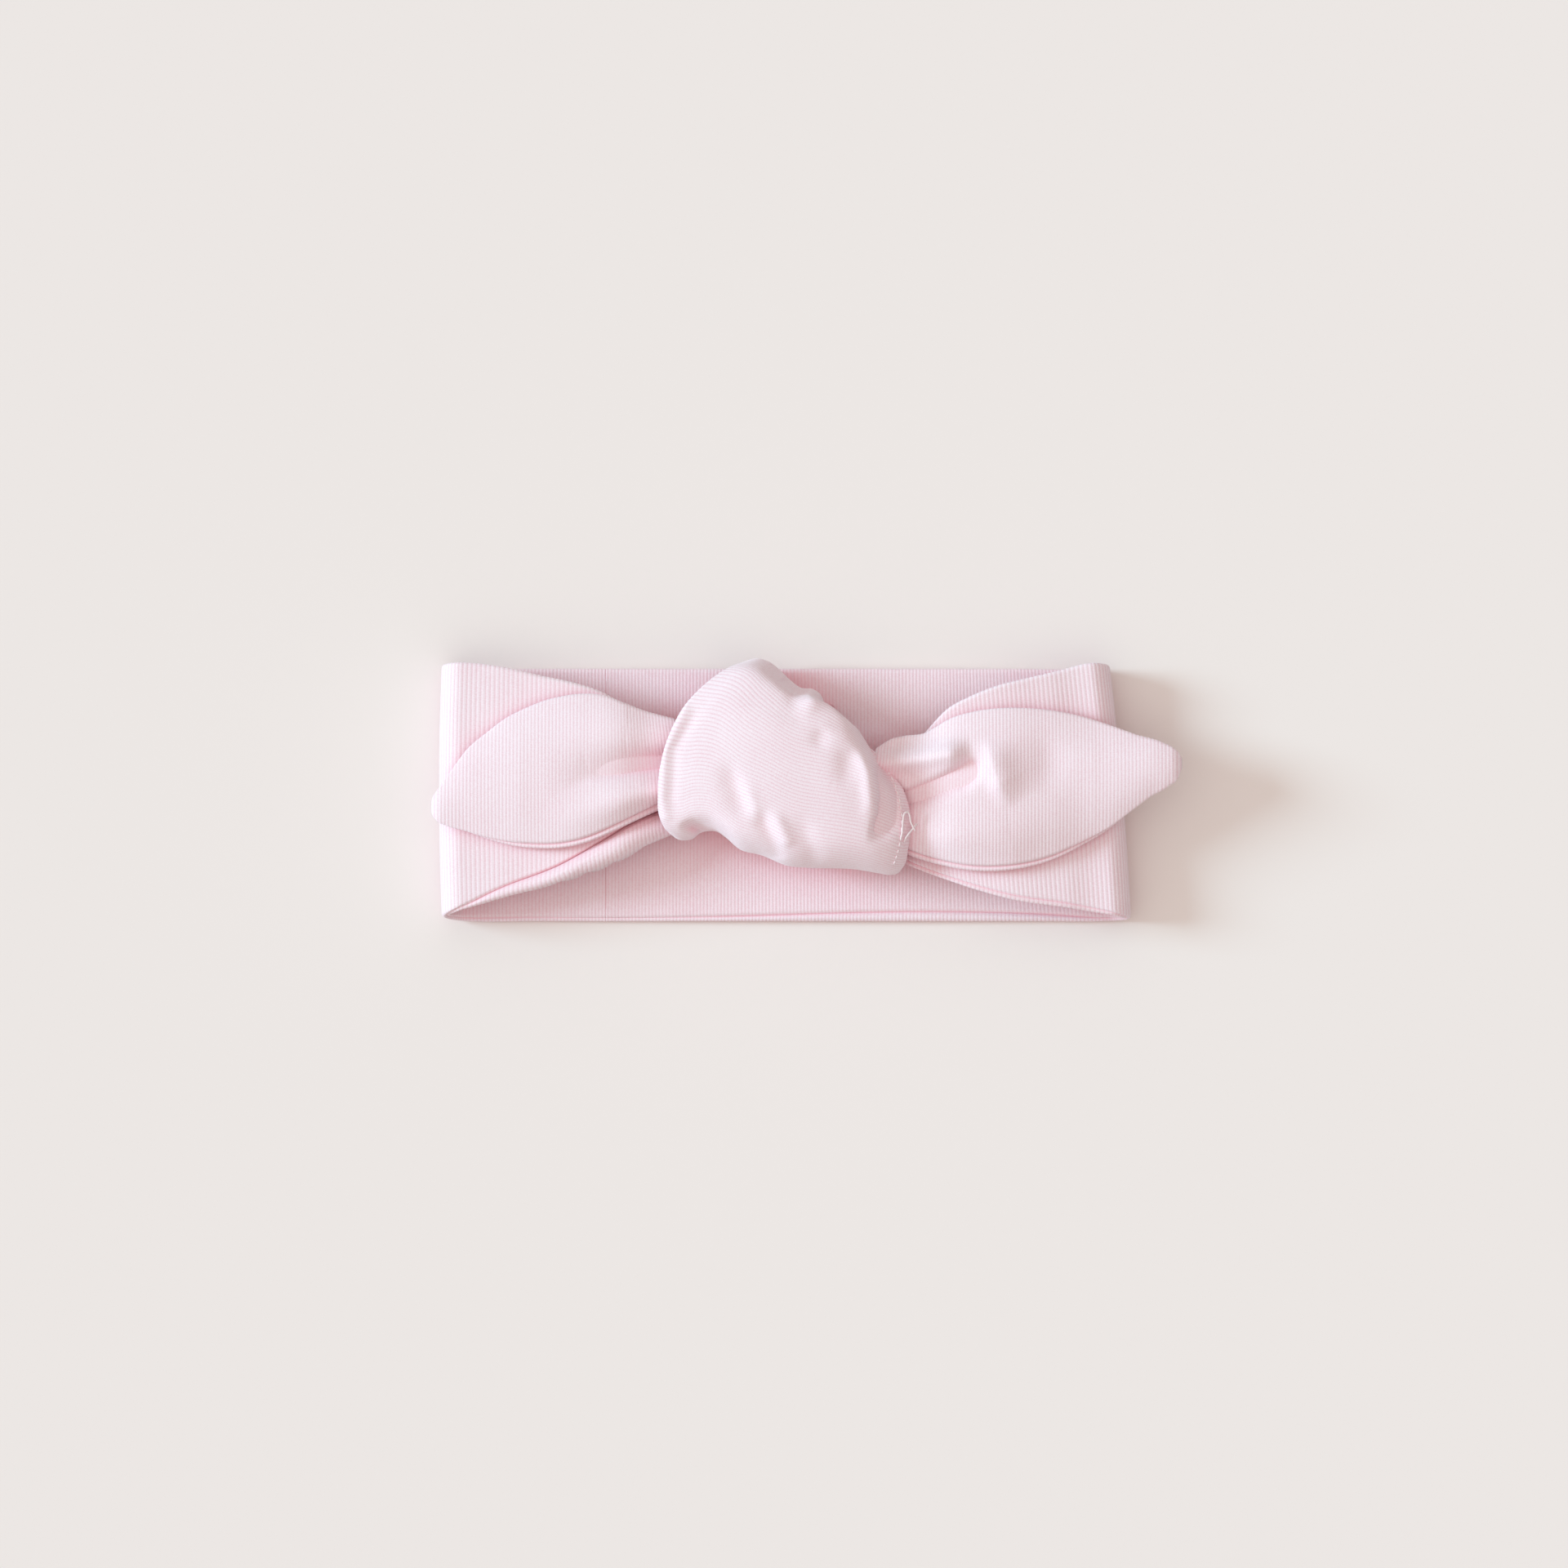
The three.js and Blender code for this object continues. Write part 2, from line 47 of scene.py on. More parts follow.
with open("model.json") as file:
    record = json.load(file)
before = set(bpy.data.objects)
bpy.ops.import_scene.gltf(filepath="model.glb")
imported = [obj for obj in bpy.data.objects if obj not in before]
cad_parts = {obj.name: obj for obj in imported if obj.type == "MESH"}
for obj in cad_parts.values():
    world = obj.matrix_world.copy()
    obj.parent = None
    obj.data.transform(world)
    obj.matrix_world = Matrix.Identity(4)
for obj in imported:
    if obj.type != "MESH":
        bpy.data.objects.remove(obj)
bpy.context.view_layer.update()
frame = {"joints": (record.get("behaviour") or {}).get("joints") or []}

# ---------------------------------------------------------------------------------------------
# Sizes, in millimetres. The folds' axes, the back's edges, the tails' tips, the wrap's levels and
# the hinges come from the frame's boxes and joints. The outlines further down are plan points
# typed in the same frame.
# ---------------------------------------------------------------------------------------------


def corners(node):
    low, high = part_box(node)
    return np.array(low) / MM, np.array(high) / MM


def hinge(name):
    joint = next(j for j in frame["joints"] if j["name"] == name)
    return np.array(joint["pos_m"]) / MM


STRIP = 2.1  # two plies, pressed
PLY = 0.8
RIB_HEIGHT = 0.10
GROOVE_DEPTH = 0.6
GROOVE_WIDTH = 0.42
STEPS_PER_RIB = 4

fold_low, fold_high = corners("left_fold_outer_ply")
FOLD_RADIUS = (fold_high[2] - fold_low[2]) / 2
LEFT_AXIS_X = fold_low[0] + FOLD_RADIUS
back_low, back_high = corners("back_right_outer_ply")
BACK_LOW_Y = back_low[1]
BACK_HIGH_Y = back_high[1]
join_low, join_high = corners("back_join_seam")
JOIN_X = (join_low[0] + join_high[0]) / 2
RIGHT_SLANT = -0.085  # X per unit of Y along the right fold
RIGHT_AXIS_LOW_X = corners("right_fold_outer_ply")[1][0] - FOLD_RADIUS
wrap_low, wrap_high = corners("knot_wrap_outer_ply")
LEFT_HINGE = hinge("left_tail_lift")
RIGHT_HINGE = hinge("right_tail_lift")
LEFT_TIP_X = corners("left_tail_outer_ply")[0][0]
RIGHT_TIP_X = corners("right_tail_outer_ply")[1][0]


# ---------------------------------------------------------------------------------------------
# Curves and fields
# ---------------------------------------------------------------------------------------------


def mix(a, b, t):
    return a + (b - a) * t


def smooth(t):
    t = np.clip(t, 0, 1)
    return t * t * (3 - 2 * t)


def bell(distance, width):
    return np.exp(-((distance / width) ** 2))


def through(stations, values, t):
    """A smooth curve through values at rising stations, read at t."""
    stations = np.asarray(stations, float)
    values = np.asarray(values, float)
    slopes = np.gradient(values, stations, axis=0)
    t = np.clip(t, stations[0], stations[-1])
    i = np.clip(np.searchsorted(stations, t, side="right") - 1, 0, len(stations) - 2)
    step = stations[i + 1] - stations[i]
    s = (t - stations[i]) / step
    if values.ndim == 2:
        step, s = step[..., None], s[..., None]
    rise = (2 * s**3 - 3 * s**2 + 1) * values[i] + (3 * s**2 - 2 * s**3) * values[i + 1]
    lean = (s**3 - 2 * s**2 + s) * slopes[i] + (s**3 - s**2) * slopes[i + 1]
    return rise + step * lean


def along(points, path):
    """Distance in plan from points to a path, the share of the path passed, and the side."""
    path = np.asarray(path, float)
    lengths = np.hypot(*np.diff(path, axis=0).T)
    before = np.concatenate([[0], np.cumsum(lengths)])
    best = np.full(points.shape[:-1], 1e9)
    share = np.zeros(points.shape[:-1])
    side = np.ones(points.shape[:-1])
    for a, b, start, length in zip(path[:-1], path[1:], before, lengths):
        direction = (b - a) / length
        offset = points[..., :2] - a
        s = np.clip(offset @ direction, 0, length)
        gap = offset - s[..., None] * direction
        distance = np.hypot(gap[..., 0], gap[..., 1])
        cross = direction[0] * offset[..., 1] - direction[1] * offset[..., 0]
        nearer = distance < best
        best = np.where(nearer, distance, best)
        share = np.where(nearer, (start + s) / before[-1], share)
        side = np.where(nearer, np.sign(cross), side)
    return best, share, side


def crease(points, path, depth, width, left=1.0, right=1.0, fade=(0.15, 0.15), widen=1.0):
    """Height field of a crease (depth < 0) or a ridge (depth > 0) along a path in plan. Its width
    on the left and right of the path can differ, it is widen times as wide at its end as at its
    start, and it fades out towards both ends."""
    distance, share, side = along(points, path)
    spread = width * np.where(side > 0, left, right) * mix(1, widen, share)
    taper = smooth(share / max(fade[0], 1e-6)) * smooth((1 - share) / max(fade[1], 1e-6))
    return depth * bell(distance, spread) * taper


# ---------------------------------------------------------------------------------------------
# Skins of a two-ply strip
# ---------------------------------------------------------------------------------------------


def rim_profile(sigma, width, half):
    """Where a point of the strip's closed section lies: its share of the width, and its depth
    below the outer face. sigma is 0 at the edge where f is 0, and grows along the outer face."""
    quarter = math.pi * half / 2
    face = width - 2 * half + 2 * quarter
    wrapped = np.mod(sigma + face, 2 * face) - face
    a = np.abs(wrapped)
    near = np.clip(a / half, 0, math.pi / 2)
    far = np.clip((face - a) / half, 0, math.pi / 2)
    s = np.where(a < quarter, half * (1 - np.cos(near)), half + a - quarter)
    s = np.where(a > face - quarter, width - half * (1 - np.cos(far)), s)
    depth = np.where(a < quarter, half * (1 - np.sin(near)), 0.0)
    depth = np.where(a > face - quarter, half * (1 - np.sin(far)), depth)
    depth = np.where(wrapped < 0, 2 * half - depth, depth)
    return s / width, depth


def grid_normals(points):
    across = np.gradient(points, axis=1)
    forward = np.gradient(points, axis=0)
    normal = np.cross(forward, across)
    return normal / np.maximum(np.linalg.norm(normal, axis=-1, keepdims=True), 1e-12)


def base_normal(base, t, f):
    e, g = 0.05, 0.002
    forward = base(t + e, f) - base(t - e, f)
    across = base(t, f + g) - base(t, f - g)
    normal = np.cross(forward, across)
    return normal / np.maximum(np.linalg.norm(normal, axis=-1, keepdims=True), 1e-12)


def share_marks(length, spacing, edge=3.2, edge_spacing=0.32):
    """Shares from 0 to 1 of a length, closer together near both ends."""
    edge = min(edge, length / 3)
    near = np.arange(0, edge, edge_spacing)
    count = max(2, int((length - 2 * edge) / spacing))
    middle = np.linspace(edge, length - edge, count)
    return np.concatenate([near, middle, length - near[::-1]]) / length


def rib_stations(span, pitches):
    """Stations along the strip, and the count of ribs passed at each. pitches pairs places along
    the strip with the ribs' spacing there."""
    dense = np.linspace(span[0], span[1], 2001)
    pitch = np.interp(dense, *np.array(pitches).T)
    passed = np.concatenate([[0], np.cumsum(np.diff(dense) / ((pitch[1:] + pitch[:-1]) / 2))])
    ribs = np.linspace(0, passed[-1], int(passed[-1] * STEPS_PER_RIB) + 1)
    return np.interp(ribs, passed, dense), ribs


def add_object(name, mesh):
    mesh.update(calc_edges=True)
    obj = bpy.data.objects.new(name, mesh)
    bpy.context.scene.collection.objects.link(obj)
    return obj


def build_mesh(name, front, back, uv):
    """A closed thin solid between two grids of points, its front facing outwards."""
    rows, cols = front.shape[:2]
    count = rows * cols
    index = np.arange(count).reshape(rows, cols)
    a, b = index[:-1, :-1], index[1:, :-1]
    c, d = index[1:, 1:], index[:-1, 1:]
    quads = [np.stack([a, b, c, d], -1).reshape(-1, 4)]
    quads.append(np.stack([d, c, b, a], -1).reshape(-1, 4) + count)
    for line in (index[:, 0], index[-1, :], index[::-1, -1], index[0, ::-1]):
        here, there = line[:-1], line[1:]
        quads.append(np.stack([here, here + count, there + count, there], -1))
    faces = np.concatenate(quads)
    points = np.concatenate([front.reshape(-1, 3), back.reshape(-1, 3)]) * MM
    mesh = bpy.data.meshes.new(name)
    mesh.vertices.add(len(points))
    mesh.vertices.foreach_set("co", points.astype(np.float32).ravel())
    mesh.loops.add(faces.size)
    mesh.loops.foreach_set("vertex_index", faces.astype(np.int32).ravel())
    mesh.polygons.add(len(faces))
    mesh.polygons.foreach_set("loop_start", np.arange(0, faces.size, 4, dtype=np.int32))
    mesh.polygons.foreach_set("use_smooth", np.ones(len(faces), bool))
    flat_uv = np.concatenate([uv.reshape(-1, 2)] * 2)
    layer = mesh.uv_layers.new(name="Knit")
    layer.data.foreach_set("uv", flat_uv[faces.ravel()].astype(np.float32).ravel())
    return add_object(name, mesh)


def ply(name, base, span, pitches, which, seams, spacing, thickness=None, relief=None, lips=None):
    """One ply of a stretch of strip. seams(t) gives how far each edge's seam lies from the edge,
    on the outer face where it is positive. relief(points, t, f) raises the outer face, and
    lips(t) gives how high each edge puffs up between itself and its seam."""
    t, ribs = rib_stations(span, pitches)
    ends = [base(t, np.full_like(t, f)) for f in (0.0, 1.0)]
    width = np.linalg.norm(ends[1] - ends[0], axis=-1)
    whole = thickness(t) if thickness else np.full_like(t, STRIP)
    half = np.minimum(whole / 2, width * 0.45)
    thinned = (whole / STRIP)[:, None]
    face = width - 2 * half + math.pi * half
    low_seam, high_seam = seams(t)
    start, stop = low_seam, face - high_seam
    if which == "inner":
        start, stop = -face - high_seam, low_seam
    marks = share_marks(float(np.max(stop - start)), spacing)
    sigma = start[:, None] + (stop - start)[:, None] * marks
    long = t[:, None] + 0 * sigma
    f, depth = rim_profile(sigma, width[:, None], half[:, None])
    points = base(long, f) - base_normal(base, long, f) * depth[..., None]
    if relief:
        outer_share = np.clip(1 - depth / (2 * half[:, None]), 0, 1)
        points[..., 2] += relief(points, long, f) * outer_share
    normal = grid_normals(points)
    from_start = sigma - start[:, None]
    to_stop = stop[:, None] - sigma
    relief_out = -GROOVE_DEPTH * (bell(from_start, GROOVE_WIDTH) + bell(to_stop, GROOVE_WIDTH))
    rib = np.abs(np.sin(math.pi * ribs))[:, None] ** 0.6
    relief_out += RIB_HEIGHT * (rib - 0.7) * smooth(np.minimum(from_start, to_stop) / 0.8)
    if lips:
        low_height, high_height = lips(t)
        for height, reach, edge in (
            (low_height, low_seam, sigma),
            (high_height, high_seam, face[:, None] - sigma),
        ):
            reach = np.maximum(np.abs(reach), 0.5)[:, None]
            relief_out += height[:, None] * bell(edge - reach * 0.45, reach * 0.5)
    front = points + normal * (relief_out * thinned)[..., None]
    back = points - normal * (PLY * np.sqrt(thinned))[..., None]
    uv = np.stack([ribs[:, None] + 0 * sigma, sigma], -1)
    return build_mesh(name, front, back, uv)


def rows(table, t):
    table = np.asarray(table, float)
    return through(table[:, 0], table[:, 1] if table.shape[1] == 2 else table[:, 1:], t)


# ---------------------------------------------------------------------------------------------
# The loop: back, folds and wings
# ---------------------------------------------------------------------------------------------

QUARTER_TURN = math.pi * FOLD_RADIUS / 2
FOLD_TOP = 2 * FOLD_RADIUS
WING_ROOT_TOP = 10.7
FOLD_REACH = 5.3  # how far the pressed fold bulges out, against half its height of FOLD_RADIUS
NEAR_FOLD = 30  # distance from a fold over which its own shape fades out
WING_RAMP = 10  # distance past a fold over which the wing takes its own height
RIGHT_AXIS_X = RIGHT_AXIS_LOW_X - RIGHT_SLANT * BACK_LOW_Y
LEFT_ROOT_X = -30.0
RIGHT_ROOT_X = 20.0


WING_TOP = [
    (-90, 12), (-84, 12.1), (-70, 12.6), (-55, 13.3), (-46, 13.0), (-38, 11.2),
    (-30, WING_ROOT_TOP), (20, WING_ROOT_TOP), (27, 11.4), (36, 13.7), (46, 14.3), (60, 13.2),
    (71.6, 12.1), (78, 12), (90, 12),
]


def wing_top(x):
    return rows(WING_TOP, x)


def loop_section(past_fold):
    """Distance from the fold's axis towards the knot, and height, at a distance past the fold's
    rim: positive along the wing, negative along the back."""
    angle = np.clip(past_fold / FOLD_RADIUS, -math.pi / 2, math.pi / 2)
    beyond = np.maximum(np.abs(past_fold) - QUARTER_TURN, 0)
    flat = (FOLD_RADIUS - FOLD_REACH) * (1 - smooth(beyond / NEAR_FOLD))
    inward = beyond - flat - FOLD_REACH * np.cos(angle)
    return inward, FOLD_RADIUS * (1 + np.sin(angle))


def loop_base(axis_x, slant, bow, towards, low_rows, high_rows):
    """Base surface of one side of the loop. towards is +1 where the knot lies at +X."""

    def base(t, f):
        past = t * towards
        inward, z = loop_section(past)
        along_x = axis_x + towards * inward
        low_y = rows(low_rows, past)
        high_y = rows(high_rows, past)
        y = mix(low_y, high_y, f)
        near_fold = smooth(1 - np.abs(past) / NEAR_FOLD)
        on_wing = smooth((past + 60) / 50)
        x = along_x + slant * y * on_wing + bow * (1 - (y / 32) ** 2) * near_fold
        z = z + (wing_top(along_x) - FOLD_TOP) * smooth((past - QUARTER_TURN) / WING_RAMP)
        return np.stack([x, y, z], -1)

    return base


def past_left(x):
    return x - LEFT_AXIS_X + QUARTER_TURN


def past_right(x):
    return RIGHT_AXIS_X - x + QUARTER_TURN


LEFT_BACK_END = -(JOIN_X - LEFT_AXIS_X) - QUARTER_TURN
RIGHT_BACK_END = -(RIGHT_AXIS_X - JOIN_X) - QUARTER_TURN
LEFT_LOW = [
    (LEFT_BACK_END, BACK_LOW_Y), (-26, BACK_LOW_Y), (-QUARTER_TURN - 2, BACK_LOW_Y), (0, -31.4),
    (past_left(-84.2), -29.4), (past_left(-72.3), -25.6), (past_left(-59.7), -21.7),
    (past_left(-46.8), -16.7), (past_left(-37), -11.4), (past_left(LEFT_ROOT_X), -8.4),
]
LEFT_HIGH = [
    (LEFT_BACK_END, BACK_HIGH_Y), (-26, BACK_HIGH_Y), (-QUARTER_TURN - 2, BACK_HIGH_Y), (0, 31.2),
    (past_left(-84), 31.7), (past_left(-72.4), 30.2), (past_left(-64.7), 28.3),
    (past_left(-57), 26.6), (past_left(-50.6), 24.5), (past_left(-42), 19.5),
    (past_left(-35), 14.5), (past_left(LEFT_ROOT_X), 12.5),
]
RIGHT_LOW = [
    (RIGHT_BACK_END, BACK_LOW_Y), (-26, BACK_LOW_Y), (-QUARTER_TURN - 2, BACK_LOW_Y), (0, -31.8),
    (past_right(71.6), -30.6), (past_right(61.7), -28.8), (past_right(48.9), -26.8),
    (past_right(36.7), -23.3), (past_right(24.1), -18.5), (past_right(RIGHT_ROOT_X), -16.5),
]
RIGHT_HIGH = [
    (RIGHT_BACK_END, BACK_HIGH_Y), (-26, BACK_HIGH_Y), (-QUARTER_TURN - 2, BACK_HIGH_Y), (0, 31.2),
    (past_right(71.6), 31.5), (past_right(64), 29.6), (past_right(56.9), 27.9),
    (past_right(48.8), 25.8), (past_right(41.9), 23.1), (past_right(36.2), 20.1),
    (past_right(30.5), 14.6), (past_right(26), 9.5), (past_right(RIGHT_ROOT_X), 6.0),
]
LEFT_ROLL = [
    (LEFT_BACK_END, -1.2), (-QUARTER_TURN, -1.2), (0, -0.4), (past_left(-84), 1.2),
    (past_left(-78.8), 2.3), (past_left(-59.7), 4.4), (past_left(-50), 6.4),
    (past_left(-43.6), 7.2), (past_left(-36.5), 6.4), (past_left(LEFT_ROOT_X), 5),
]
RIGHT_ROLL = [
    (RIGHT_BACK_END, -1.2), (-QUARTER_TURN, -1.2), (0, -0.2), (past_right(71.6), 1.0),
    (past_right(50), 1.5), (past_right(30), 1.2), (past_right(RIGHT_ROOT_X), 1.2),
]

left_base = loop_base(LEFT_AXIS_X, 0, -0.7, 1, LEFT_LOW, LEFT_HIGH)
right_base = loop_base(RIGHT_AXIS_X, RIGHT_SLANT, 0.6, -1, RIGHT_LOW, RIGHT_HIGH)


def left_seams(t):
    return rows(LEFT_ROLL, t), np.interp(t, (-10, 10), (0.4, -0.4))


def right_seams(t):
    return rows(RIGHT_ROLL, -t), np.interp(-t, (-10, 10), (0.4, -0.4))


def left_lips(t):
    return 2.3 * smooth((t - 8) / 40), 0 * t


def right_lips(t):
    return 0.25 * smooth((-t - 5) / 20), 0 * t


LEFT_PITCH = [(LEFT_BACK_END, 0.84), (-QUARTER_TURN, 0.9), (5, 1.12), (30, 1.1), (65, 0.9)]
RIGHT_PITCH = [(-65, 0.9), (-30, 1.1), (-5, 1.12), (QUARTER_TURN, 0.9), (-RIGHT_BACK_END, 0.84)]
left_span = (LEFT_BACK_END, past_left(LEFT_ROOT_X))
right_span = (-past_right(RIGHT_ROOT_X), -RIGHT_BACK_END)


def loop_sides(side, base, span, pitches, seams, lips):
    made = []
    for which in ("outer", "inner"):
        lip = lips if which == "inner" else None
        made.append(ply(f"{side}_loop_{which}", base, span, pitches, which, seams, spacing=2.0,
                        lips=lip))
    return made


left_loop = loop_sides("left", left_base, left_span, LEFT_PITCH, left_seams, left_lips)
right_loop = loop_sides("right", right_base, right_span, RIGHT_PITCH, right_seams, right_lips)

# ---------------------------------------------------------------------------------------------
# The two tails
# ---------------------------------------------------------------------------------------------

LEFT_TAIL_ROOT_X = -31.0
RIGHT_TAIL_ROOT_X = 15.5
TAIL_REST = 2.4
TAIL_CLEAR = 0.95
TAIL_LEAN = 3  # how far apart along X the two edges of a root lie
ROOT_LENGTH = 22
ROOT_RISE = 0.7
TIP_LENGTH = 30
TIP_ROUND = 2.6
TIP_DROP = 0.8
LEFT_TAIL_LOW = [
    (0, -5.4), (0.5, -6.8), (1.4, -7.9), (4, -9.2), (8.4, -10.5), (13.6, -12.2), (20, -13.8),
    (26.3, -14.5), (32.7, -14.3), (39.2, -12.8), (45.6, -9.9), (50.9, -7.2), (56, -4.6), (61.4, -2),
]
LEFT_TAIL_HIGH = [
    (0, -2.6), (0.5, -1.0), (1.4, 0.4), (4.6, 4.9), (8.4, 10.1), (13.6, 14.6), (18.1, 18),
    (23.2, 20.6), (27.7, 22.4), (32.7, 23.6), (36.7, 24.1), (41.8, 23.9), (48.8, 21.7),
    (54, 19.9), (61.4, 18),
]
RIGHT_TAIL_LOW = [
    (0, 5.0), (0.8, 2.9), (3.2, 0.6), (7.6, -2), (13, -6.1), (18, -10), (24.5, -13.8), (31, -17),
    (37.9, -19.1), (44.5, -20), (51, -20), (57.7, -19), (64.5, -17), (71.9, -13.5), (78, -10),
]
RIGHT_TAIL_HIGH = [
    (0, 8.2), (0.5, 9.3), (1.7, 10.6), (4.4, 12.1), (11, 14.1), (17.8, 16.5), (24.5, 18.6),
    (31, 19.9), (37.9, 20.6), (44.5, 20.6), (51, 19.8), (57.7, 17.8), (61, 16), (64, 14.5),
    (69.2, 13.8), (73.2, 12.9), (78, 10),
]


def tail_base(tip_x, towards, low_rows, high_rows, length, crown, tip_rise):
    """Base surface of a tail. past is the distance from its tip towards the knot at +X times
    towards."""

    def base(t, f):
        past = t * towards
        y = mix(rows(low_rows, past), rows(high_rows, past), f)
        from_root = smooth(1 - (length - past) / ROOT_LENGTH)
        x = tip_x + t + towards * TAIL_LEAN * from_root * (0.5 - f)
        arch = (1 - (2 * f - 1) ** 2) * crown * np.sqrt(np.clip(past / ROOT_LENGTH, 0, 1))
        tip_drop = TIP_DROP * np.clip(1 - past / TIP_ROUND, 0, 1) ** 2
        rise = tip_rise * smooth(1 - past / TIP_LENGTH) + ROOT_RISE * from_root
        z = wing_top(x) + TAIL_REST + arch * (1 - 0.4 * from_root) + rise - tip_drop
        return np.stack([x, y, z], -1)

    return base


LEFT_TAIL_LENGTH = LEFT_TAIL_ROOT_X - LEFT_TIP_X
RIGHT_TAIL_LENGTH = RIGHT_TIP_X - RIGHT_TAIL_ROOT_X
left_tail_base = tail_base(
    LEFT_TIP_X, 1, LEFT_TAIL_LOW, LEFT_TAIL_HIGH, LEFT_TAIL_LENGTH, crown=2.6, tip_rise=0
)
right_tail_base = tail_base(
    RIGHT_TIP_X, -1, RIGHT_TAIL_LOW, RIGHT_TAIL_HIGH, RIGHT_TAIL_LENGTH, crown=3.0, tip_rise=1.8
)


def resting(p, shift):
    """The same shift, but never taking a tail down into the wing that it lies on."""
    room = p[..., 2] - wing_top(p[..., 0]) - TAIL_CLEAR
    softness = 0.7  # millimetres over which the shift eases into its stop
    return softness * np.logaddexp(shift / softness, -np.maximum(room, 0) / softness)


def left_tail_relief(p, t, f):
    valley = crease(p, [(-31, 6.9), (-41.5, 5.7), (-48, 4.6), (-53, 3.9), (-64, 0)], -3.2, 1.8,
                    left=0.55, right=1.5, fade=(0.01, 0.85), widen=2.6)
    roll = crease(p, [(-30, 0.6), (-40, -1.0), (-50, -4.4), (-66, -8.5)], 3.3, 3.4,
                  fade=(0.01, 0.9), widen=1.6)
    lobe = crease(p, [(-30, 14), (-44, 15.5), (-62, 13)], 2.0, 5.5, fade=(0.01, 0.9), widen=1.4)
    return resting(p, valley + roll + lobe)


def right_tail_relief(p, t, f):
    roll = crease(p, [(14, 6.5), (25, 7.5), (33, 8.8), (41, 10)], 3.1, 2.8, fade=(0.01, 0.24))
    pocket = crease(p, [(18, -2.8), (25.2, -1.3), (31, 1.0), (36, 3.2), (40.5, 5.2)], -3.0, 1.5,
                    left=0.8, right=1.5, fade=(0.3, 0.2), widen=1.4)
    dimple = crease(p, [(36, 1.8), (40, 4.4), (41.2, 9)], -3.6, 2.1, fade=(0.45, 0.5))
    bump = crease(p, [(45, 14), (45.8, 7), (47.5, 1.5), (51, -4)], 1.9, 2.6, left=1.9, right=0.85,
                  fade=(0.4, 0.4))
    dip = crease(p, [(57, 17), (60, 7), (58.5, -3)], -0.7, 4.5, fade=(0.5, 0.5))
    lobe = crease(p, [(16, -10), (34, -11.5), (50, -12), (70, -6)], 2.0, 5.5, fade=(0.01, 0.8))
    return resting(p, roll + pocket + dimple + bump + dip + lobe)


def tail_thickness(towards):
    def thickness(t):
        past = t * towards
        return STRIP * (0.4 + 0.6 * np.sqrt(np.clip(past / 2.5, 0, 1)))

    return thickness


def left_tail_seams(t):
    return np.interp(t, (0, 12, 24, 40), (0, 0.5, 1.7, 2.0)), 0 * t - 0.3


def right_tail_seams(t):
    return np.interp(-t, (0, 14, 28, 40), (0, 0.5, 1.6, 1.8)), 0 * t - 0.3


def tail(side, base, span, pitches, towards, seams, relief):
    made = []
    for which in ("outer", "inner"):
        made.append(
            ply(f"{side}_bow_{which}", base, span, pitches, which, seams, spacing=0.6,
                thickness=tail_thickness(towards), relief=relief)
        )
    return made


left_tail = tail("left", left_tail_base, (0, LEFT_TAIL_LENGTH), [(0, 0.9), (60, 0.84)], 1,
                 left_tail_seams, left_tail_relief)
right_tail = tail("right", right_tail_base, (-RIGHT_TAIL_LENGTH, 0), [(-60, 0.84), (0, 0.92)], -1,
                  right_tail_seams, right_tail_relief)

# ---------------------------------------------------------------------------------------------
# The knot's wrap
# ---------------------------------------------------------------------------------------------

KNOT_BASE = wrap_low[2]
KNOT_RISE = wrap_high[2] - wrap_low[2]
LEFT_RIM_RISE = 17.6
RIGHT_RIM_RISE = 14.2
WRAP_SECTION = np.array([
    (0.38, 0), (0.22, 0), (0.07, 0.04), (0, 0.2), (0.02, 0.52), (0.09, 0.84), (0.24, 0.98),
    (0.48, 1), (0.7, 1), (0.87, 0.96), (0.965, 0.77), (1, 0.38), (0.94, 0.04), (0.78, 0), (0.62, 0),
])
WRAP_CROWN = [
    (0, 0), (0.06, 0.2), (0.15, 0.48), (0.3, 0.82), (0.45, 0.98), (0.6, 1), (0.74, 0.96),
    (0.86, 0.78), (0.94, 0.46), (1, 0),
]
WRAP_WAY = 46.0
UNDERSIDE_TUCK = 0.36  # share by which the turned-under part of the wrap draws in
UNDERSIDE_MIDDLE = 0.52  # share of the way across that it draws in to
TUCK_BELOW = 0.45  # share of the wrap's rise under which it draws in
RELIEF_FROM = 6  # level at which the wrap's folds start, and the height over which they grow
RELIEF_OVER = 10
RIB_SLANT = 11.0  # how much farther down the strip lies at its right rim than at its left
wrap_steps = np.hypot(*np.diff(WRAP_SECTION * (WRAP_WAY, KNOT_RISE), axis=0).T)
wrap_marks = np.concatenate([[0], np.cumsum(wrap_steps)])
LEFT_RIM = [
    (0, -14.6, 32.2), (0.1, -20.3, 29.9), (0.25, -28.7, 22.8), (0.4, -33.6, 14.5),
    (0.55, -36.1, 6), (0.7, -36.7, -1.6), (0.82, -36.4, -6.2), (0.92, -35.2, -9.3),
    (1, -33.2, -11.1),
]
RIGHT_RIM = [
    (0, 4.4, 19.2), (0.04, 4.6, 17.7), (0.08, 7.0, 17.3), (0.13, 10.0, 16.9), (0.18, 12.9, 15),
    (0.23, 14.6, 12.7), (0.28, 15.9, 10.7), (0.42, 21.3, 4.3), (0.5, 24.0, 0.9), (0.58, 25.3, -2.4),
    (0.72, 26.3, -8), (0.86, 25.5, -14.5), (0.94, 24.8, -18), (1, 23.4, -20.1),
]
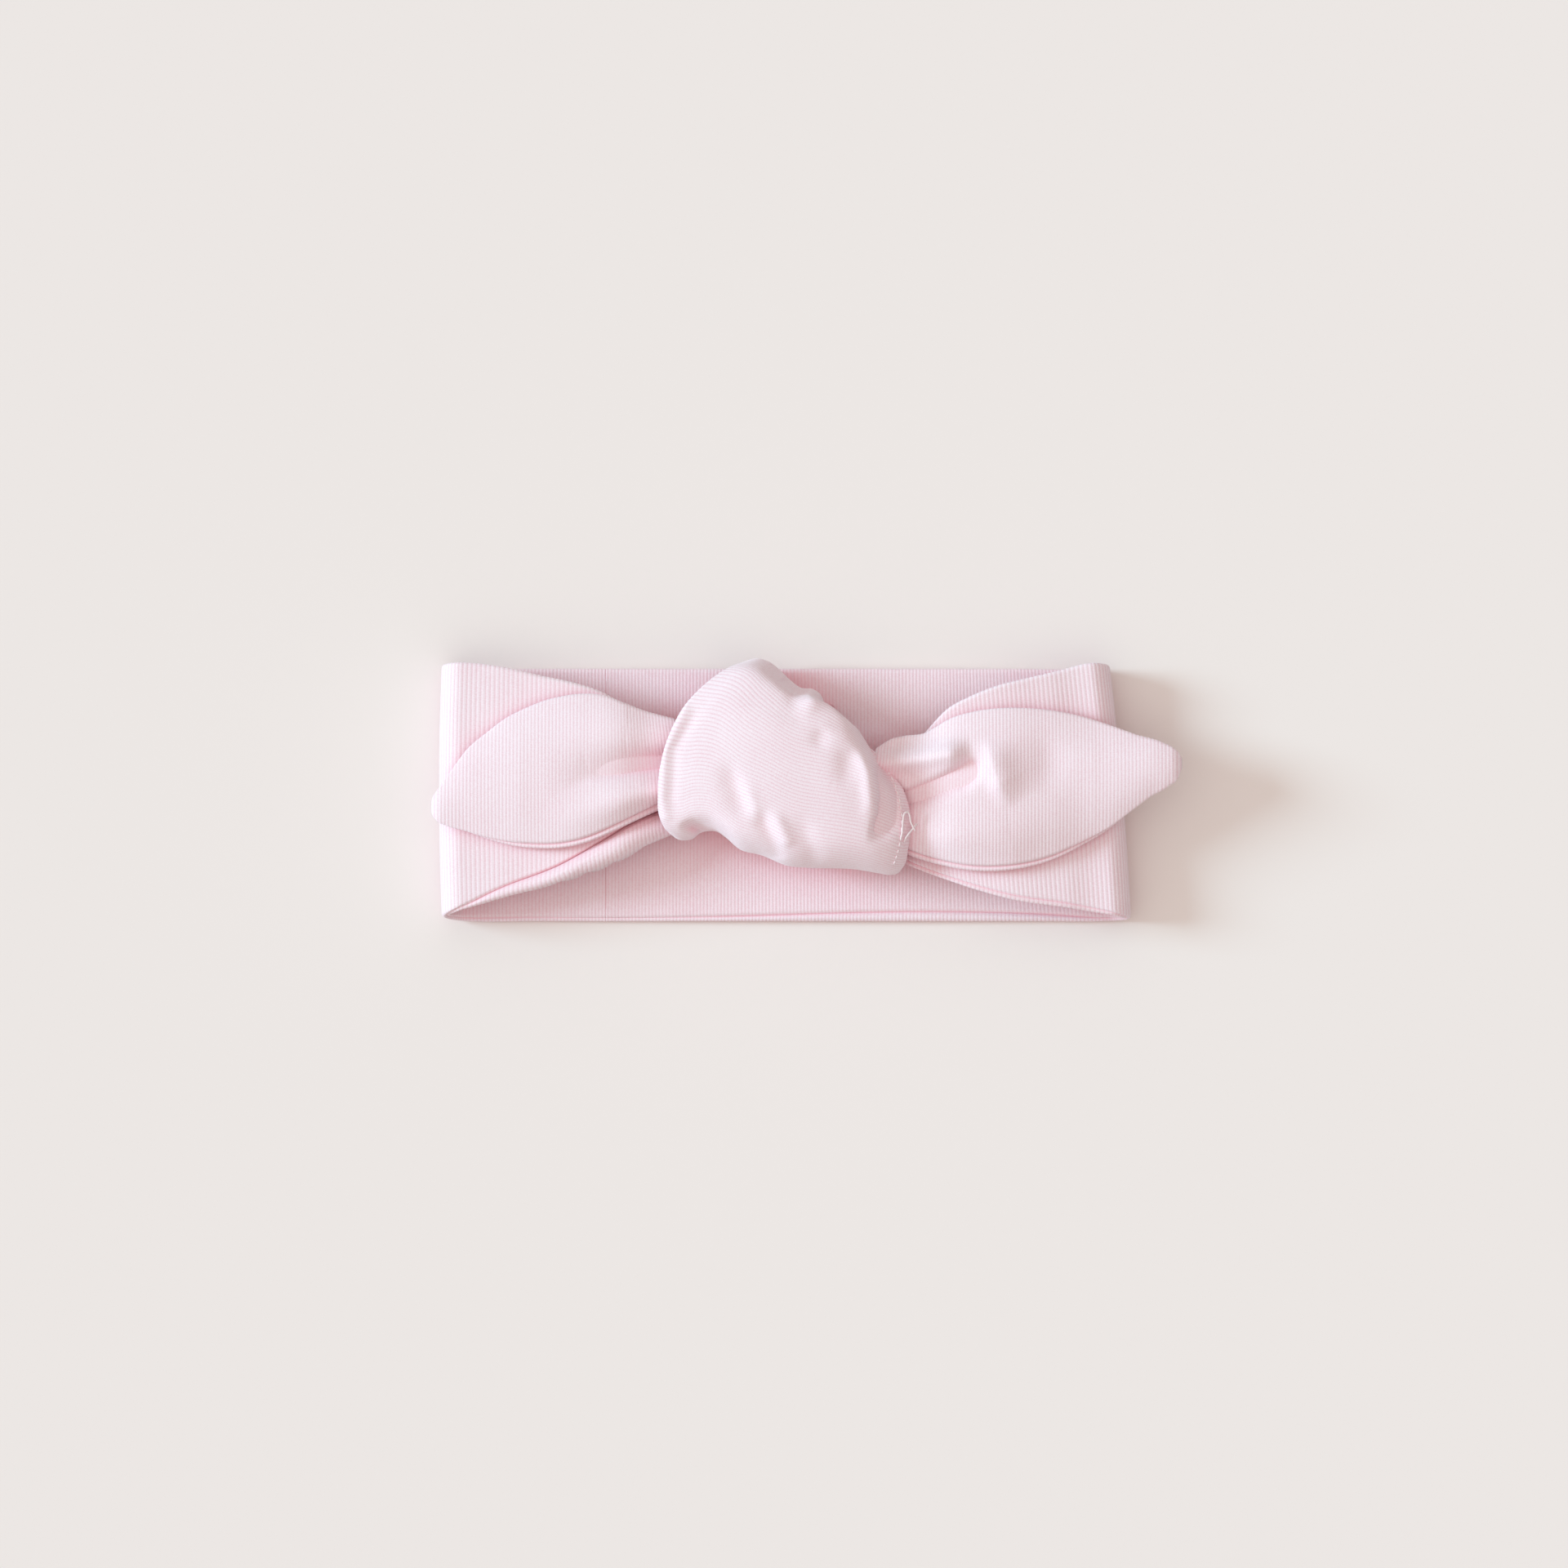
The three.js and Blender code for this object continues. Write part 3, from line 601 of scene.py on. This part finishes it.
TOP_LINE = [
    (0, -14.6, 32.2), (0.08, -12.3, 32.6), (0.2, -9.2, 31.7), (0.34, -6.5, 29.6),
    (0.46, -4.0, 27.2), (0.56, -1.6, 25.4), (0.68, 1.4, 25.0), (0.8, 3.5, 23.5), (0.9, 4.4, 21.2),
    (1, 4.3, 19.2),
]
LOW_LINE = [
    (0, -33.2, -11.1), (0.05, -31, -12.2), (0.1, -28.2, -12), (0.15, -25.8, -10.3),
    (0.2, -22.6, -10), (0.26, -19.8, -11.6), (0.33, -16.5, -14.4),
    (0.43, -10.8, -16), (0.53, -5, -18.4), (0.63, 0.5, -19), (0.8, 12, -19.4), (0.89, 17.5, -20.3),
    (0.95, 21, -20.8), (1, 23.4, -20.1),
]


def knot_plan(w, f):
    left, right = rows(LEFT_RIM, w), rows(RIGHT_RIM, w)
    top, low = rows(TOP_LINE, f), rows(LOW_LINE, f)
    corners_of = [np.array(line[i][1:]) for line in (TOP_LINE, LOW_LINE) for i in (0, -1)]
    w, f = w[..., None], f[..., None]
    flat_top = mix(corners_of[0], corners_of[1], f)
    flat_low = mix(corners_of[2], corners_of[3], f)
    return mix(left, right, f) + mix(top, low, w) - mix(flat_top, flat_low, w)


def knot_base(t, f):
    section = through(wrap_marks, WRAP_SECTION, t + RIB_SLANT * np.clip(f, 0, 1) ** 1.2)
    w, rise = section[..., 0], section[..., 1]
    tucked = UNDERSIDE_TUCK * smooth((TUCK_BELOW - rise) / TUCK_BELOW)
    plan = knot_plan(np.clip(w, 0, 1), mix(np.clip(f, 0, 1), UNDERSIDE_MIDDLE, tucked))
    rim = mix(LEFT_RIM_RISE, RIGHT_RIM_RISE, f)
    height = mix(rim, KNOT_RISE, rows(WRAP_CROWN, f))
    z = KNOT_BASE + rise * height
    return np.concatenate([plan, z[..., None]], -1)


def knot_relief(p, t, f):
    fold = crease(p, [(14.5, 14), (18, 6.4), (18.9, -1), (18.4, -6), (17, -9.5), (16, -14)],
                  -3.8, 1.7, left=2.4, right=0.5, fade=(0.25, 0.3))
    shoulder = crease(p, [(12, 12), (15, 5), (15.6, -3), (14.5, -9)], 1.0, 1.5, fade=(0.3, 0.4))
    first = crease(p, [(-20.5, 8), (-18, 2.8), (-15.4, -3.5), (-13.5, -8)], -1.1, 2.5, left=0.8,
                   right=1.3, fade=(0.4, 0.4))
    first_ridge = crease(p, [(-16, 3), (-13.2, -3.5), (-11.4, -8.5)], 0.45, 1.7, fade=(0.4, 0.4))
    second = crease(p, [(-12, -4), (-9.4, -9), (-7.4, -13.5), (-7, -17)], -1.0, 1.9, left=0.8,
                    right=1.3, fade=(0.35, 0.05))
    second_ridge = crease(p, [(-8.5, -4), (-6, -9.5), (-4.2, -14.5)], 0.7, 1.8, fade=(0.4, 0.2))
    third = crease(p, [(-2.5, -5), (-0.4, -10), (1.6, -15), (2, -19)], -0.45, 2.2, fade=(0.4, 0.05))
    soft = crease(p, [(10.5, 12), (10, 5), (9, -1)], -0.7, 2.6, fade=(0.4, 0.5))
    hollow = crease(p, [(-23.5, -9.8), (-27.5, -8.9), (-31.2, -8.4)], -2.8, 1.2, fade=(0.4, 0.5))
    bulge = crease(p, [(1.5, 26), (1.2, 22), (-2, 16)], 1.2, 2.4, fade=(0.01, 0.8))
    dent = crease(p, [(-5.5, 27.5), (-3.4, 24), (-3.2, 19)], -0.6, 1.5, fade=(0.01, 0.8))
    below_bulge = crease(p, [(5, 16), (3.5, 13), (2.2, 9)], -0.6, 2.2, fade=(0.4, 0.5))
    rim = crease(p, [(-28.4, 22), (-34.6, 10), (-35.4, -2), (-34, -8)], 0.4, 1.1, fade=(0.1, 0.05))
    behind_rim = crease(p, [(-26, 21), (-32, 10), (-32.8, -2), (-31.5, -6.5)], -0.35, 1.0,
                        fade=(0.2, 0.2))
    folds = fold + shoulder + first + first_ridge + second + second_ridge + third + soft
    details = hollow + bulge + dent + below_bulge + rim + behind_rim
    return (folds + details) * smooth((p[..., 2] - RELIEF_FROM) / RELIEF_OVER)


def knot_seams(t):
    return 0 * t - 0.5, 0 * t


WRAP_LENGTH = float(wrap_marks[-1]) - RIB_SLANT
KNOT_PITCH = [(0, 0.8), (WRAP_LENGTH, 0.84)]
knot = [
    ply(f"knot_{which}", knot_base, (0, WRAP_LENGTH), KNOT_PITCH, which, knot_seams,
        spacing=0.8, relief=knot_relief)
    for which in ("outer", "inner")
]

# ---------------------------------------------------------------------------------------------
# Inside the knot, the join seam, the closing topstitch and its loose thread ends
# ---------------------------------------------------------------------------------------------


GATHER_STATIONS = 40
GATHER_SIDES = 120
GATHER_INSET = 2.2  # how far inside the wrap's rim a gather starts
GATHER_ROUNDED = 0.35  # share of its size that it loses at its rounded start
GATHER_NARROWS = 0.35  # share that it loses on its way into the knot
GATHER_SQUARE = 0.75  # power that squares its section


def squared(wave):
    return np.sign(wave) * np.abs(wave) ** GATHER_SQUARE


def gather(name, rim, end_x, reach, low_z, high_z):
    """A pleated bundle of strip that fills one mouth of the knot, starting just inside the rim.
    reach is the lowest and highest Y of its end."""
    rim = np.array(rim)
    order = np.argsort(rim[:, 2])
    inside = math.copysign(GATHER_INSET, end_x - rim[:, 1].mean())
    u = np.linspace(0, 1, GATHER_STATIONS)[:, None]
    turn = np.linspace(0, 2 * math.pi, GATHER_SIDES + 1)[None, :-1]
    rounded = np.sqrt(np.clip(1 - (1 - u * 4).clip(0) ** 2, 0, 1))
    taper = rounded * GATHER_ROUNDED + (1 - GATHER_ROUNDED)
    taper = taper * (1 - GATHER_NARROWS * smooth(u))
    pleat = 1 + 0.05 * np.cos(9 * turn + 3 * u) + 0.03 * np.cos(16 * turn - 2 * u)
    y = mix(reach[0], reach[1], 0.5 + 0.5 * taper * pleat * squared(np.cos(turn)))
    start_x = np.interp(y, rim[order, 2], rim[order, 1]) + inside
    x = mix(start_x, end_x, u)
    z = mix(low_z, high_z, 0.5 + 0.5 * taper * pleat * squared(np.sin(turn)))
    points = np.stack([x, y, z], -1)
    stations, cols = points.shape[:2]
    index = np.arange(stations * cols).reshape(stations, cols)
    turned = np.roll(index, -1, axis=1)
    sides = np.stack([index[:-1], turned[:-1], turned[1:], index[1:]], -1).reshape(-1, 4)
    faces = sides.tolist() + [index[0][::-1].tolist(), index[-1].tolist()]
    mesh = bpy.data.meshes.new(name)
    mesh.from_pydata((points.reshape(-1, 3) * MM).tolist(), [], faces)
    mesh.polygons.foreach_set("use_smooth", np.ones(len(faces), bool))
    layer = mesh.uv_layers.new(name="Knit")
    loops = np.zeros(len(mesh.loops), np.int32)
    mesh.loops.foreach_get("vertex_index", loops)
    around = np.broadcast_to(turn * (reach[1] - reach[0]) / 2, x.shape)
    uv = np.stack([x / 0.9, around], -1).reshape(-1, 2)
    layer.data.foreach_set("uv", uv[loops].astype(np.float32).ravel())
    return add_object(name, mesh)


def strand(name, lines, radius):
    """Round thread along each of several lines of points, as one mesh."""
    verts, faces = [], []
    sides = 8
    for line in lines:
        line = np.asarray(line, float)
        tangent = np.gradient(line, axis=0)
        tangent /= np.linalg.norm(tangent, axis=1, keepdims=True)
        side = np.cross(tangent, (0.1, 0.2, 1.0))
        side /= np.linalg.norm(side, axis=1, keepdims=True)
        up = np.cross(side, tangent)
        first = len(verts)
        for i, point in enumerate(line):
            cap = 0.45 if i in (0, len(line) - 1) else 1.0
            for k in range(sides):
                angle = 2 * math.pi * k / sides
                offset = math.cos(angle) * side[i] + math.sin(angle) * up[i]
                verts.append((point + offset * radius * cap) * MM)
        for i in range(len(line) - 1):
            for k in range(sides):
                a = first + i * sides + k
                b = first + i * sides + (k + 1) % sides
                faces.append((a, b, b + sides, a + sides))
        faces.append(tuple(first + k for k in range(sides))[::-1])
        faces.append(tuple(first + (len(line) - 1) * sides + k for k in range(sides)))
    mesh = bpy.data.meshes.new(name)
    mesh.from_pydata([tuple(v) for v in verts], [], faces)
    mesh.polygons.foreach_set("use_smooth", np.ones(len(faces), bool))
    return add_object(name, mesh)


def knot_top(plan_points, lift):
    """Points on the wrap's upper face, lift above it, under points given in plan."""
    w, f = np.meshgrid(np.linspace(0.02, 0.98, 140), np.linspace(0.01, 0.99, 140), indexing="ij")
    over = WRAP_SECTION[:, 1] > 0.15
    t_of_way = np.interp(w, WRAP_SECTION[over, 0], wrap_marks[over]) - RIB_SLANT * f**1.2
    surface = knot_base(t_of_way, f)
    surface[..., 2] += knot_relief(surface, t_of_way, f)
    flat = surface.reshape(-1, 3)
    found = []
    for x, y in plan_points:
        gap = np.hypot(flat[:, 0] - x, flat[:, 1] - y)
        nearest = np.argsort(gap)[:6]
        weight = 1 / (gap[nearest] + 0.05)
        found.append((x, y, float((flat[nearest, 2] * weight).sum() / weight.sum()) + lift))
    return np.array(found)


left_gather = gather("knot_left_gather", LEFT_RIM, -6.0, (-7.6, 26.0), 4.2, 14.5)
right_gather = gather("knot_right_gather", RIGHT_RIM, -5.0, (-16.8, 14.5), 4.2, 14.0)

join_y = np.linspace(BACK_LOW_Y + 2.2, BACK_HIGH_Y - 2.2, 60)
join_line = np.stack([0 * join_y + JOIN_X, join_y, 0 * join_y + STRIP - 0.25], -1)
join_seam = strand("back_join_line", [join_line], 0.3)

STITCH_RUN = np.array([
    (18.9, 6.4), (21.6, 1.8), (23.1, -3.6), (23.4, -9), (22.6, -14.4), (21.3, -18.6),
])
run_marks = np.linspace(0, 1, len(STITCH_RUN))
STITCHES = 15
STITCH_RADIUS = 0.2
LOOSE_RADIUS = 0.22
LOOSE_POINTS = 40
STITCH_SHARE = 0.66  # of each stitch's length, that shows between two dips
stitch_lines = []
for i in range(STITCHES):
    part = np.linspace(i / STITCHES, (i + STITCH_SHARE) / STITCHES, 5)
    plan = through(run_marks, STITCH_RUN, part)
    line = knot_top(plan, 0.05)
    line[1:-1, 2] += 0.16
    stitch_lines.append(line)
topstitch = strand("closing_stitches", stitch_lines, STITCH_RADIUS)

UPPER_THREAD = [
    (23.1, -12.3), (23.5, -9.8), (23.7, -7.2), (24.0, -5.7), (24.9, -5.3), (25.4, -6.5),
    (25.6, -7.8), (26.3, -9.2), (26.7, -9.9),
]
LOWER_THREAD = [(23.9, -12.7), (24.4, -11.6), (25.2, -10.5), (26.1, -9.4), (27.1, -8.1)]


def loose_thread(name, plan, rise):
    marks = np.linspace(0, 1, len(plan))
    share = np.linspace(0, 1, LOOSE_POINTS)
    line = knot_top(through(marks, np.array(plan), share), 0.25)
    line[:, 2] = mix(line[:, 2], np.max(line[:, 2]), 0.5) + rise * np.sin(math.pi * share)
    return strand(name, [line], LOOSE_RADIUS)


thread_upper = loose_thread("loose_thread_upper", UPPER_THREAD, 0.6)
thread_lower = loose_thread("loose_thread_lower", LOWER_THREAD, 0.9)

# ---------------------------------------------------------------------------------------------
# Materials
# ---------------------------------------------------------------------------------------------


def linear(red, green, blue):
    """Linear colour from 0 to 255 display values."""
    def one(value):
        value = value / 255
        return value / 12.92 if value <= 0.04045 else ((value + 0.055) / 1.055) ** 2.4

    return (one(red), one(green), one(blue), 1.0)


class Nodes:
    """A material's node tree, with short ways to add and join nodes."""

    def __init__(self, name):
        self.material = bpy.data.materials.new(name)
        self.material.use_nodes = True
        self.tree = self.material.node_tree
        self.shader = self.tree.nodes["Principled BSDF"]

    def add(self, kind, inputs=(), **settings):
        node = self.tree.nodes.new(kind)
        for key, value in settings.items():
            setattr(node, key, value)
        for key, value in dict(inputs).items():
            if isinstance(value, bpy.types.NodeSocket):
                self.tree.links.new(value, node.inputs[key])
            else:
                node.inputs[key].default_value = value
        return node

    def math(self, operation, a, b=0.0):
        return self.add("ShaderNodeMath", {0: a, 1: b}, operation=operation).outputs[0]

    def into_shader(self, **sockets):
        for key, value in sockets.items():
            socket = self.shader.inputs[key.replace("_", " ")]
            if isinstance(value, bpy.types.NodeSocket):
                self.tree.links.new(value, socket)
            else:
                socket.default_value = value


COURSES_PER_MM = 1.7
STITCH_LEAN = 1.2
GROOVE_SHADE_TONE = 0.52  # shares of the groove colour that each pattern mixes in; in the rib grooves it is painted shade
STITCH_TONE = 0.26
FUZZ_TONE = 0.7
CLOUDY_TONE = 0.25


def rib_knit(name, face_colour, groove_shade_and_mottle_colour, painted_shade_colour):
    """Fine 1x1 rib jersey. U counts ribs and V is millimetres along each rib. Its rib grooves are
    painted darker, as painted shade, and where cloth lies close to cloth it takes a deeper pink,
    as painted shade in folds, gaps and hollows."""
    n = Nodes(name)
    uv = n.add("ShaderNodeUVMap", uv_map="Knit").outputs["UV"]
    parts = n.add("ShaderNodeSeparateXYZ", {0: uv}).outputs
    # Painted shade: the rib grooves are darkened towards the groove colour, where the ribs' relief
    # lies lowest.
    within = n.math("FRACT", parts["X"])
    from_middle = n.math("ABSOLUTE", n.math("SUBTRACT", within, 0.5))
    groove_shade = n.math("POWER", n.math("MULTIPLY", from_middle, 2.0), 3.0)
    lean = n.math("MULTIPLY", from_middle, STITCH_LEAN)
    course = n.math("ADD", n.math("MULTIPLY", parts["Y"], COURSES_PER_MM), lean)
    stitch = n.math("ABSOLUTE", n.math("SUBTRACT", n.math("FRACT", course), 0.5))
    place = n.add("ShaderNodeTexCoord").outputs["Object"]
    cloudy = n.add("ShaderNodeTexNoise", {"Vector": place, "Scale": 90.0, "Detail": 3.0}).outputs[0]
    fuzz = n.add("ShaderNodeTexNoise", {"Vector": place, "Scale": 2600.0, "Detail": 2.0}).outputs[0]
    tone = n.math(
        "ADD", n.math("MULTIPLY", groove_shade, GROOVE_SHADE_TONE), n.math("MULTIPLY", stitch, STITCH_TONE)
    )
    tone = n.math("ADD", tone, n.math("MULTIPLY", n.math("SUBTRACT", fuzz, 0.5), FUZZ_TONE))
    tone = n.math("ADD", tone, n.math("MULTIPLY", n.math("SUBTRACT", cloudy, 0.5), CLOUDY_TONE))
    blend = n.add(
        "ShaderNodeMix", {0: tone, 6: face_colour, 7: groove_shade_and_mottle_colour}, data_type="RGBA",
        clamp_factor=True,
    ).outputs[2]
    # Painted shade: a deeper pink is mixed in where ambient occlusion finds cloth close to cloth.
    openness = n.add("ShaderNodeAmbientOcclusion", {"Distance": 0.012}, samples=6).outputs["AO"]
    painted_shade_share = n.math("POWER", n.math("SUBTRACT", 1.0, openness), 1.35)
    blend = n.add(
        "ShaderNodeMix", {0: painted_shade_share, 6: blend, 7: painted_shade_colour}, data_type="RGBA",
        clamp_factor=True,
    ).outputs[2]
    height = n.math("ADD", n.math("MULTIPLY", stitch, -0.5), n.math("MULTIPLY", fuzz, 0.6))
    bump = n.add(
        "ShaderNodeBump", {"Height": height, "Strength": 0.35, "Distance": 0.00012}
    ).outputs[0]
    n.into_shader(
        Base_Color=blend, Roughness=0.92, Normal=bump, Sheen_Weight=0.35, Sheen_Roughness=0.45,
        Specular_IOR_Level=0.15,
    )
    return n.material


def thread(name, colour):
    n = Nodes(name)
    place = n.add("ShaderNodeTexCoord").outputs["Object"]
    twist = n.add(
        "ShaderNodeTexWave", {"Vector": place, "Scale": 700.0, "Distortion": 1.5}
    ).outputs["Fac"]
    bump = n.add(
        "ShaderNodeBump", {"Height": twist, "Strength": 0.4, "Distance": 0.00008}
    ).outputs[0]
    n.into_shader(Base_Color=colour, Roughness=0.6, Normal=bump, Sheen_Weight=0.2)
    return n.material


# Painted shade: the deeper pink for folds, gaps and hollows where cloth lies close to cloth
PAINTED_SHADE_PINK = linear(243, 181, 192)
outer_knit = rib_knit("outer_rib_knit", linear(245, 233, 240), linear(226, 180, 191), PAINTED_SHADE_PINK)
# The inner plies' knit is a little darker and pinker than the outer's, as painted shade for the
# back band lying low under the knot and wings
shaded_inner_knit = rib_knit("inner_rib_knit_shaded", linear(244, 229, 236), linear(226, 178, 189), PAINTED_SHADE_PINK)
seam_thread = thread("pink_seam_thread", linear(222, 176, 186))
white_thread = thread("white_sewing_thread", linear(246, 236, 239))


def dress(piece, material, slot_name, *nodes):
    piece.data.materials.append(material)
    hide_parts(*nodes)


def nodes_of(stretches, parts):
    return [f"{stretch}_{part}" for stretch in stretches for part in parts]


SEAMS = ("lower_seam", "upper_seam")
for pieces, stretches in (
    (left_loop, ("back_left", "left_fold", "left_wing")),
    (right_loop, ("back_right", "right_fold", "right_wing")),
    (left_tail, ("left_tail",)),
    (right_tail, ("right_tail",)),
):
    outer, inner = pieces
    dress(outer, outer_knit, "rib_knit_outer", *nodes_of(stretches, ("outer_ply", *SEAMS)))
    dress(inner, shaded_inner_knit, "rib_knit_inner", *nodes_of(stretches, ("inner_ply",)))
knot_outer, knot_inner = knot
dress(knot_outer, outer_knit, "rib_knit_outer", "knot_wrap_outer_ply", "knot_wrap_left_rim_seam",
      "knot_wrap_right_rim_seam")
dress(knot_inner, shaded_inner_knit, "rib_knit_inner", "knot_wrap_inner_ply")
dress(left_gather, outer_knit, "rib_knit_outer", "knot_left_strand")
dress(right_gather, outer_knit, "rib_knit_outer", "knot_right_strand")
dress(join_seam, seam_thread, "seam_allowance", "back_join_seam")
dress(topstitch, white_thread, "sewing_thread", "closing_topstitch")
dress(thread_upper, white_thread, "sewing_thread", "loose_thread_end_upper")
dress(thread_lower, white_thread, "sewing_thread", "loose_thread_end_lower")

# ---------------------------------------------------------------------------------------------
# What pieces ride on: the knot's pieces on the front, the join seam on the back; loops and tails
# stay put
# ---------------------------------------------------------------------------------------------

for piece, length in (
    *((piece, (left_span[1] - left_span[0]) * MM) for piece in left_loop),
    *((piece, (right_span[1] - right_span[0]) * MM) for piece in right_loop),
):
    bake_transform(piece)
for pieces, body, pivot, towards, length in (
    (left_tail, "left_tail", LEFT_HINGE, -1, LEFT_TAIL_LENGTH),
    (right_tail, "right_tail", RIGHT_HINGE, 1, RIGHT_TAIL_LENGTH),
):
    for piece in pieces:
        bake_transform(piece)
for piece in knot:
    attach(piece, "front")
for piece in (left_gather, right_gather, topstitch, thread_upper, thread_lower):
    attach(piece, "front")
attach(join_seam, "back")

# ---------------------------------------------------------------------------------------------
# Floor, light and camera
# ---------------------------------------------------------------------------------------------

bpy.ops.mesh.primitive_plane_add(size=6, location=(0, 0, -0.0002))
floor = bpy.context.object
floor.name = "paper_floor"
paper = Nodes("warm_white_paper")
paper.into_shader(Base_Color=linear(238, 233, 230), Roughness=0.95, Specular_IOR_Level=0.05)
floor.data.materials.append(paper.material)

ROOM_ACROSS = (-1, 1, 1.3, 0.7)  # the room's brightness by its X and by its Z, from and to
ROOM_UP = (0, 1, 0.055, 1.148)
ROOM_SEEN = 0.86  # its brightness behind the floor, as seen

scene = bpy.context.scene
scene.view_settings.view_transform = "Standard"
world = bpy.data.worlds.new("high_key_room")
world.use_nodes = True
room = world.node_tree
direction = room.nodes.new("ShaderNodeSeparateXYZ")
room.links.new(room.nodes.new("ShaderNodeTexCoord").outputs["Generated"], direction.inputs[0])
brightness = room.nodes.new("ShaderNodeMath")
brightness.operation = "MULTIPLY"
for slot_index, (axis, ranges) in enumerate((("X", ROOM_ACROSS), ("Z", ROOM_UP))):
    ramp = room.nodes.new("ShaderNodeMapRange")
    room.links.new(direction.outputs[axis], ramp.inputs["Value"])
    for name, value in zip(("From Min", "From Max", "To Min", "To Max"), ranges):
        ramp.inputs[name].default_value = value
    room.links.new(ramp.outputs["Result"], brightness.inputs[slot_index])
seen = room.nodes.new("ShaderNodeMix")
room.links.new(room.nodes.new("ShaderNodeLightPath").outputs["Is Camera Ray"], seen.inputs[0])
room.links.new(brightness.outputs[0], seen.inputs[2])
seen.inputs[3].default_value = ROOM_SEEN
background = room.nodes["Background"]
room.links.new(seen.outputs[0], background.inputs["Strength"])
background.inputs["Color"].default_value = (1.0, 0.888, 0.838, 1.0)
scene.world = world

light = bpy.data.lights.new("window", "SUN")
light.energy = 2.5
light.angle = math.radians(20)
light.color = (0.605, 0.877, 1.0)
window = bpy.data.objects.new("window", light)
window.location = (-1.0, 0.2, 0.454)
aim = Vector((0, 0, 0)) - window.location
window.rotation_euler = aim.to_track_quat("-Z", "Y").to_euler()
scene.collection.objects.link(window)

CAMERA_HEIGHT = 2.0
FRAME_WIDTH = 0.3863
SENSOR = 36
BOW_LEVEL = 0.012  # the level at which the frame's width is taken
camera = bpy.data.cameras.new("camera")
camera.sensor_width = SENSOR
camera.lens = SENSOR * (CAMERA_HEIGHT - BOW_LEVEL) / FRAME_WIDTH
camera.dof.use_dof = False
camera_object = bpy.data.objects.new("camera", camera)
camera_object.location = (-0.0055, 0.0016, CAMERA_HEIGHT)
scene.collection.objects.link(camera_object)
scene.camera = camera_object
